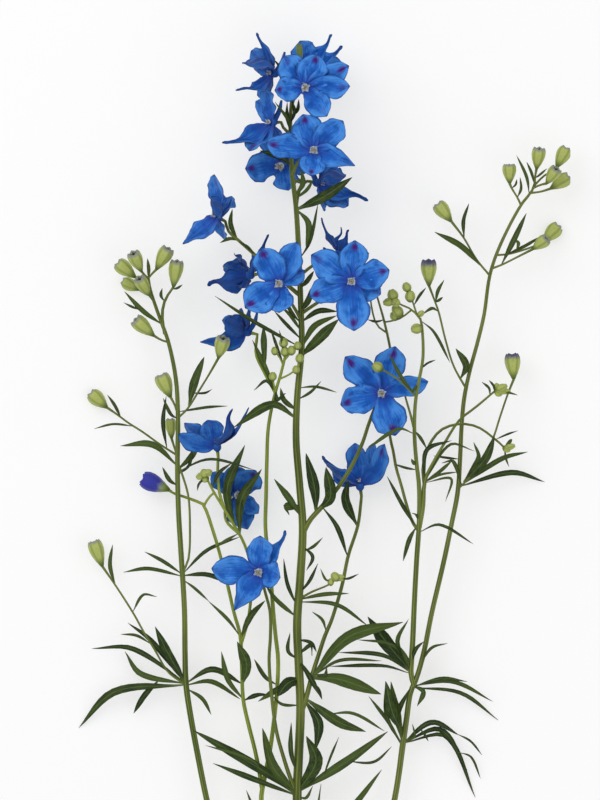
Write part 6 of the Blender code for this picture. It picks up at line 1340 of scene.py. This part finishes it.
# Stands fine hairs of uneven length on small petals
def hairTree(name):
    tree = GrowTree(name, "Petals", (("Density", "Float"), ("Length", "Float"), ("Radius", "Float"),
                                     ("Seed", "Int")))
    given = tree.given
    scatter = tree.node("GeometryNodeDistributePointsOnFaces",
                        {"Mesh": given["Petals"], "Density": given["Density"], "Seed": given["Seed"]})
    hair = tree.node("GeometryNodeMeshCone",
                     {"Vertices": 3, "Radius Top": 0.0, "Radius Bottom": given["Radius"],
                      "Depth": given["Length"]}, fill_type="NONE")
    low, high = centreLook["hairSizes"]
    size = tree.node("FunctionNodeRandomValue", {2: low, 3: high, "Seed": given["Seed"]})
    place = tree.node("GeometryNodeInstanceOnPoints",
                      {"Points": scatter.outputs["Points"], "Instance": hair.outputs[0],
                       "Rotation": scatter.outputs["Rotation"], "Scale": size.outputs[1]})
    both = tree.node("GeometryNodeJoinGeometry", {0: given["Petals"]})
    tree.feed(both.inputs[0], place.outputs[0])
    return tree.close(both.outputs[0])


centreLook = {
    "petalRows": 6, "petalColumns": 4, "petalThickness": 0.25, "petalWidths": (1.5, 1.5, 1.8, 1.8),
    "hairsPerMetre": 1.4e6, "hairLength": 0.9, "hairRadius": 0.06, "hairSizes": (0.6, 1.25),
    "seat": ((0.0, 1.5), (0.4, 1.9), (0.9, 1.7), (1.3, 0.9)), "seatSides": 12,
    # share of the way from foot to tip, and radius
    "anthers": 9, "antherTurn": 2.4, "antherSides": 6,
    "anther": ((0, 0.12), (0.72, 0.10), (0.78, 0.24), (0.88, 0.36), (0.97, 0.28), (1.0, 0.1)),
}
centreSizes = {"bloom_01": 0.6, "bloom_04": 0.6, "bloom_07": 0.5, "bloom_08": 0.6, "bloom_09": 0.5,
               "bloom_15": 0.5, "bloom_16": 0.5}


# One small pale petal, notched at its tip; out points away from the middle of the bloom
def addCentrePetal(skin, front, facing, out, width, size):
    across = facing.cross(out).normalized()

    def surface(u, v):
        edge = 2 * u - 1
        notch = 1 - 0.5 * max(v - 0.7, 0.0) / 0.3
        half = 0.5 * width * (0.35 + 0.65 * math.sin(math.pi * min(v * 0.75 + 0.05, 1.0))) * notch
        reach = (0.5 + 1.9 * v**1.3) * size
        height = (3.2 * v + 0.5 * abs(edge) * v - 0.5 * v * v) * size
        cup = 0.35 * half * edge * edge
        return front + out * (reach - cup) + facing * height + across * (edge * half), -out

    thinSheet(skin, centreLook["petalRows"], centreLook["petalColumns"], surface,
              centreLook["petalThickness"] * size)


# The small hairy petals and the anthers in the middle of a bloom
def makeCentre(name, number, tree, petalFinish, antherFinish):
    middle, facing, sepals = bloomPlaces[name]
    facing = Vector(facing).normalized()
    size = centreSizes.get(name, 1.0)
    front = Vector(middle) + facing * (bloomBody["baseTop"] + clearance)
    side = facing.cross(Vector((0.12, 0.95, 0.2))).normalized()
    up = side.cross(facing).normalized()
    petals = Skin("front")
    for petal, width in enumerate(centreLook["petalWidths"]):
        turn = math.radians(45 + 90 * petal + 17 * math.sin(number + petal))
        out = side * math.cos(turn) + up * math.sin(turn)
        addCentrePetal(petals, front, facing, out, width * size, size)
    seat = [(*(front + facing * along * size), radius * size) for along, radius in centreLook["seat"]]
    roundBody(petals, seat, centreLook["seatSides"])
    source = newThing("centreShape", petals.mesh("centreShape"))
    values = {"Density": centreLook["hairsPerMetre"],
              "Length": centreLook["hairLength"] * size * millimetre,
              "Radius": centreLook["hairRadius"] * millimetre, "Seed": number, "Finish": petalFinish}
    settle(source, tree, values, name + "_centre_petals", name + "_centre")
    tips = Skin()
    chance = random.Random(number)
    for anther in range(centreLook["anthers"]):
        turn = centreLook["antherTurn"] * anther
        reach = size * (0.25 + 0.75 * chance.random())
        out = side * math.cos(turn) + up * math.sin(turn)
        foot = front + facing * 0.9 * size + out * reach * 0.5
        top = front + facing * size * (2.2 + chance.random()) + out * reach
        path = [(*foot.lerp(top, share), radius * size) for share, radius in centreLook["anther"]]
        roundBody(tips, path, centreLook["antherSides"])
    tips.piece(name + "_anthers", name + "_centre", antherFinish)


# A plain pale floor, soft light and a camera that looks straight down
stageLook = {
    "floorColor": (0.48, 0.48, 0.48), "floorGlow": 0.52, "floorSize": 60.0, "floorLevel": -0.0002,
    "skyStrength": 0.66, "aim": (0.0, 0.370), "eyeHeight": 5.03, "lens": 300.0, "sensorHeight": 24.0,
    "farthest": 50.0,
    # name, place, size and power of each light
    "lights": (("keyLight", (-0.9, 1.2, 1.6), 1.6, 13.0), ("fillLight", (1.1, -0.1, 1.7), 1.6, 5.0)),
}


def makeStage():
    white = (1.0, 1.0, 1.0, 1.0)
    mesh = bpy.data.meshes.new("floor")
    half = stageLook["floorSize"] / 2
    low = stageLook["floorLevel"]
    mesh.from_pydata([(-half, -half, low), (half, -half, low), (half, half, low), (-half, half, low)],
                     [], [(0, 1, 2, 3)])
    finish = Finish("floorPaper", 0.9, Specular_IOR_Level=0.1)
    finish.shader.inputs["Base Color"].default_value = (*stageLook["floorColor"], 1.0)
    finish.shader.inputs["Emission Color"].default_value = white
    finish.shader.inputs["Emission Strength"].default_value = stageLook["floorGlow"]
    mesh.materials.append(finish.material)
    floor = newThing("floor", mesh)
    floor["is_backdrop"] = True
    bpy.context.scene.view_settings.view_transform = "Standard"
    world = bpy.data.worlds.new("sky")
    bpy.context.scene.world = world
    world.use_nodes = True
    sky = world.node_tree.nodes["Background"]
    sky.inputs["Color"].default_value = white
    sky.inputs["Strength"].default_value = stageLook["skyStrength"]
    aimX, aimY = stageLook["aim"]
    for name, place, size, power in stageLook["lights"]:
        light = bpy.data.lights.new(name, "AREA")
        light.size = size
        light.energy = power
        lamp = newThing(name, light)
        lamp.location = place
        away = Vector(place) - Vector((aimX, aimY, 0.0))
        lamp.rotation_euler = away.to_track_quat("Z", "Y").to_euler()
    camera = bpy.data.cameras.new("camera")
    camera.sensor_fit = "VERTICAL"
    camera.sensor_height = stageLook["sensorHeight"]
    camera.lens = stageLook["lens"]
    camera.clip_end = stageLook["farthest"]
    eye = newThing("camera", camera)
    eye.location = (aimX, aimY, stageLook["eyeHeight"])
    bpy.context.scene.camera = eye


leafSkin = leafFinish()
budSkin = budFinish()
sepalSkin = sepalFinish()
stems = stemTree("stemTree")
for plantPart in greenNodes:
    makeStems(plantPart, stems)
    makeLeaves(plantPart, leafSkin)
    makeBuds(plantPart, budSkin)
print("stems, leaves and buds made")

petalSkin = grainFinish("centreSkin", (0.30, 0.36, 0.46), (0.66, 0.68, 0.68), 0.6, 900.0)
antherSkin = grainFinish("antherSkin", (0.16, 0.13, 0.08), (0.40, 0.36, 0.18), 0.6, 1200.0)
hairs = hairTree("hairTree")
for bloomNumber, bloomName in enumerate(bloomPlaces):
    makeBloom(bloomName, sepalSkin)
    makeCentre(bloomName, bloomNumber, hairs, petalSkin, antherSkin)
print("blooms made")

makeStage()
print("stage set")
noteSize("scene", sizeNotes)
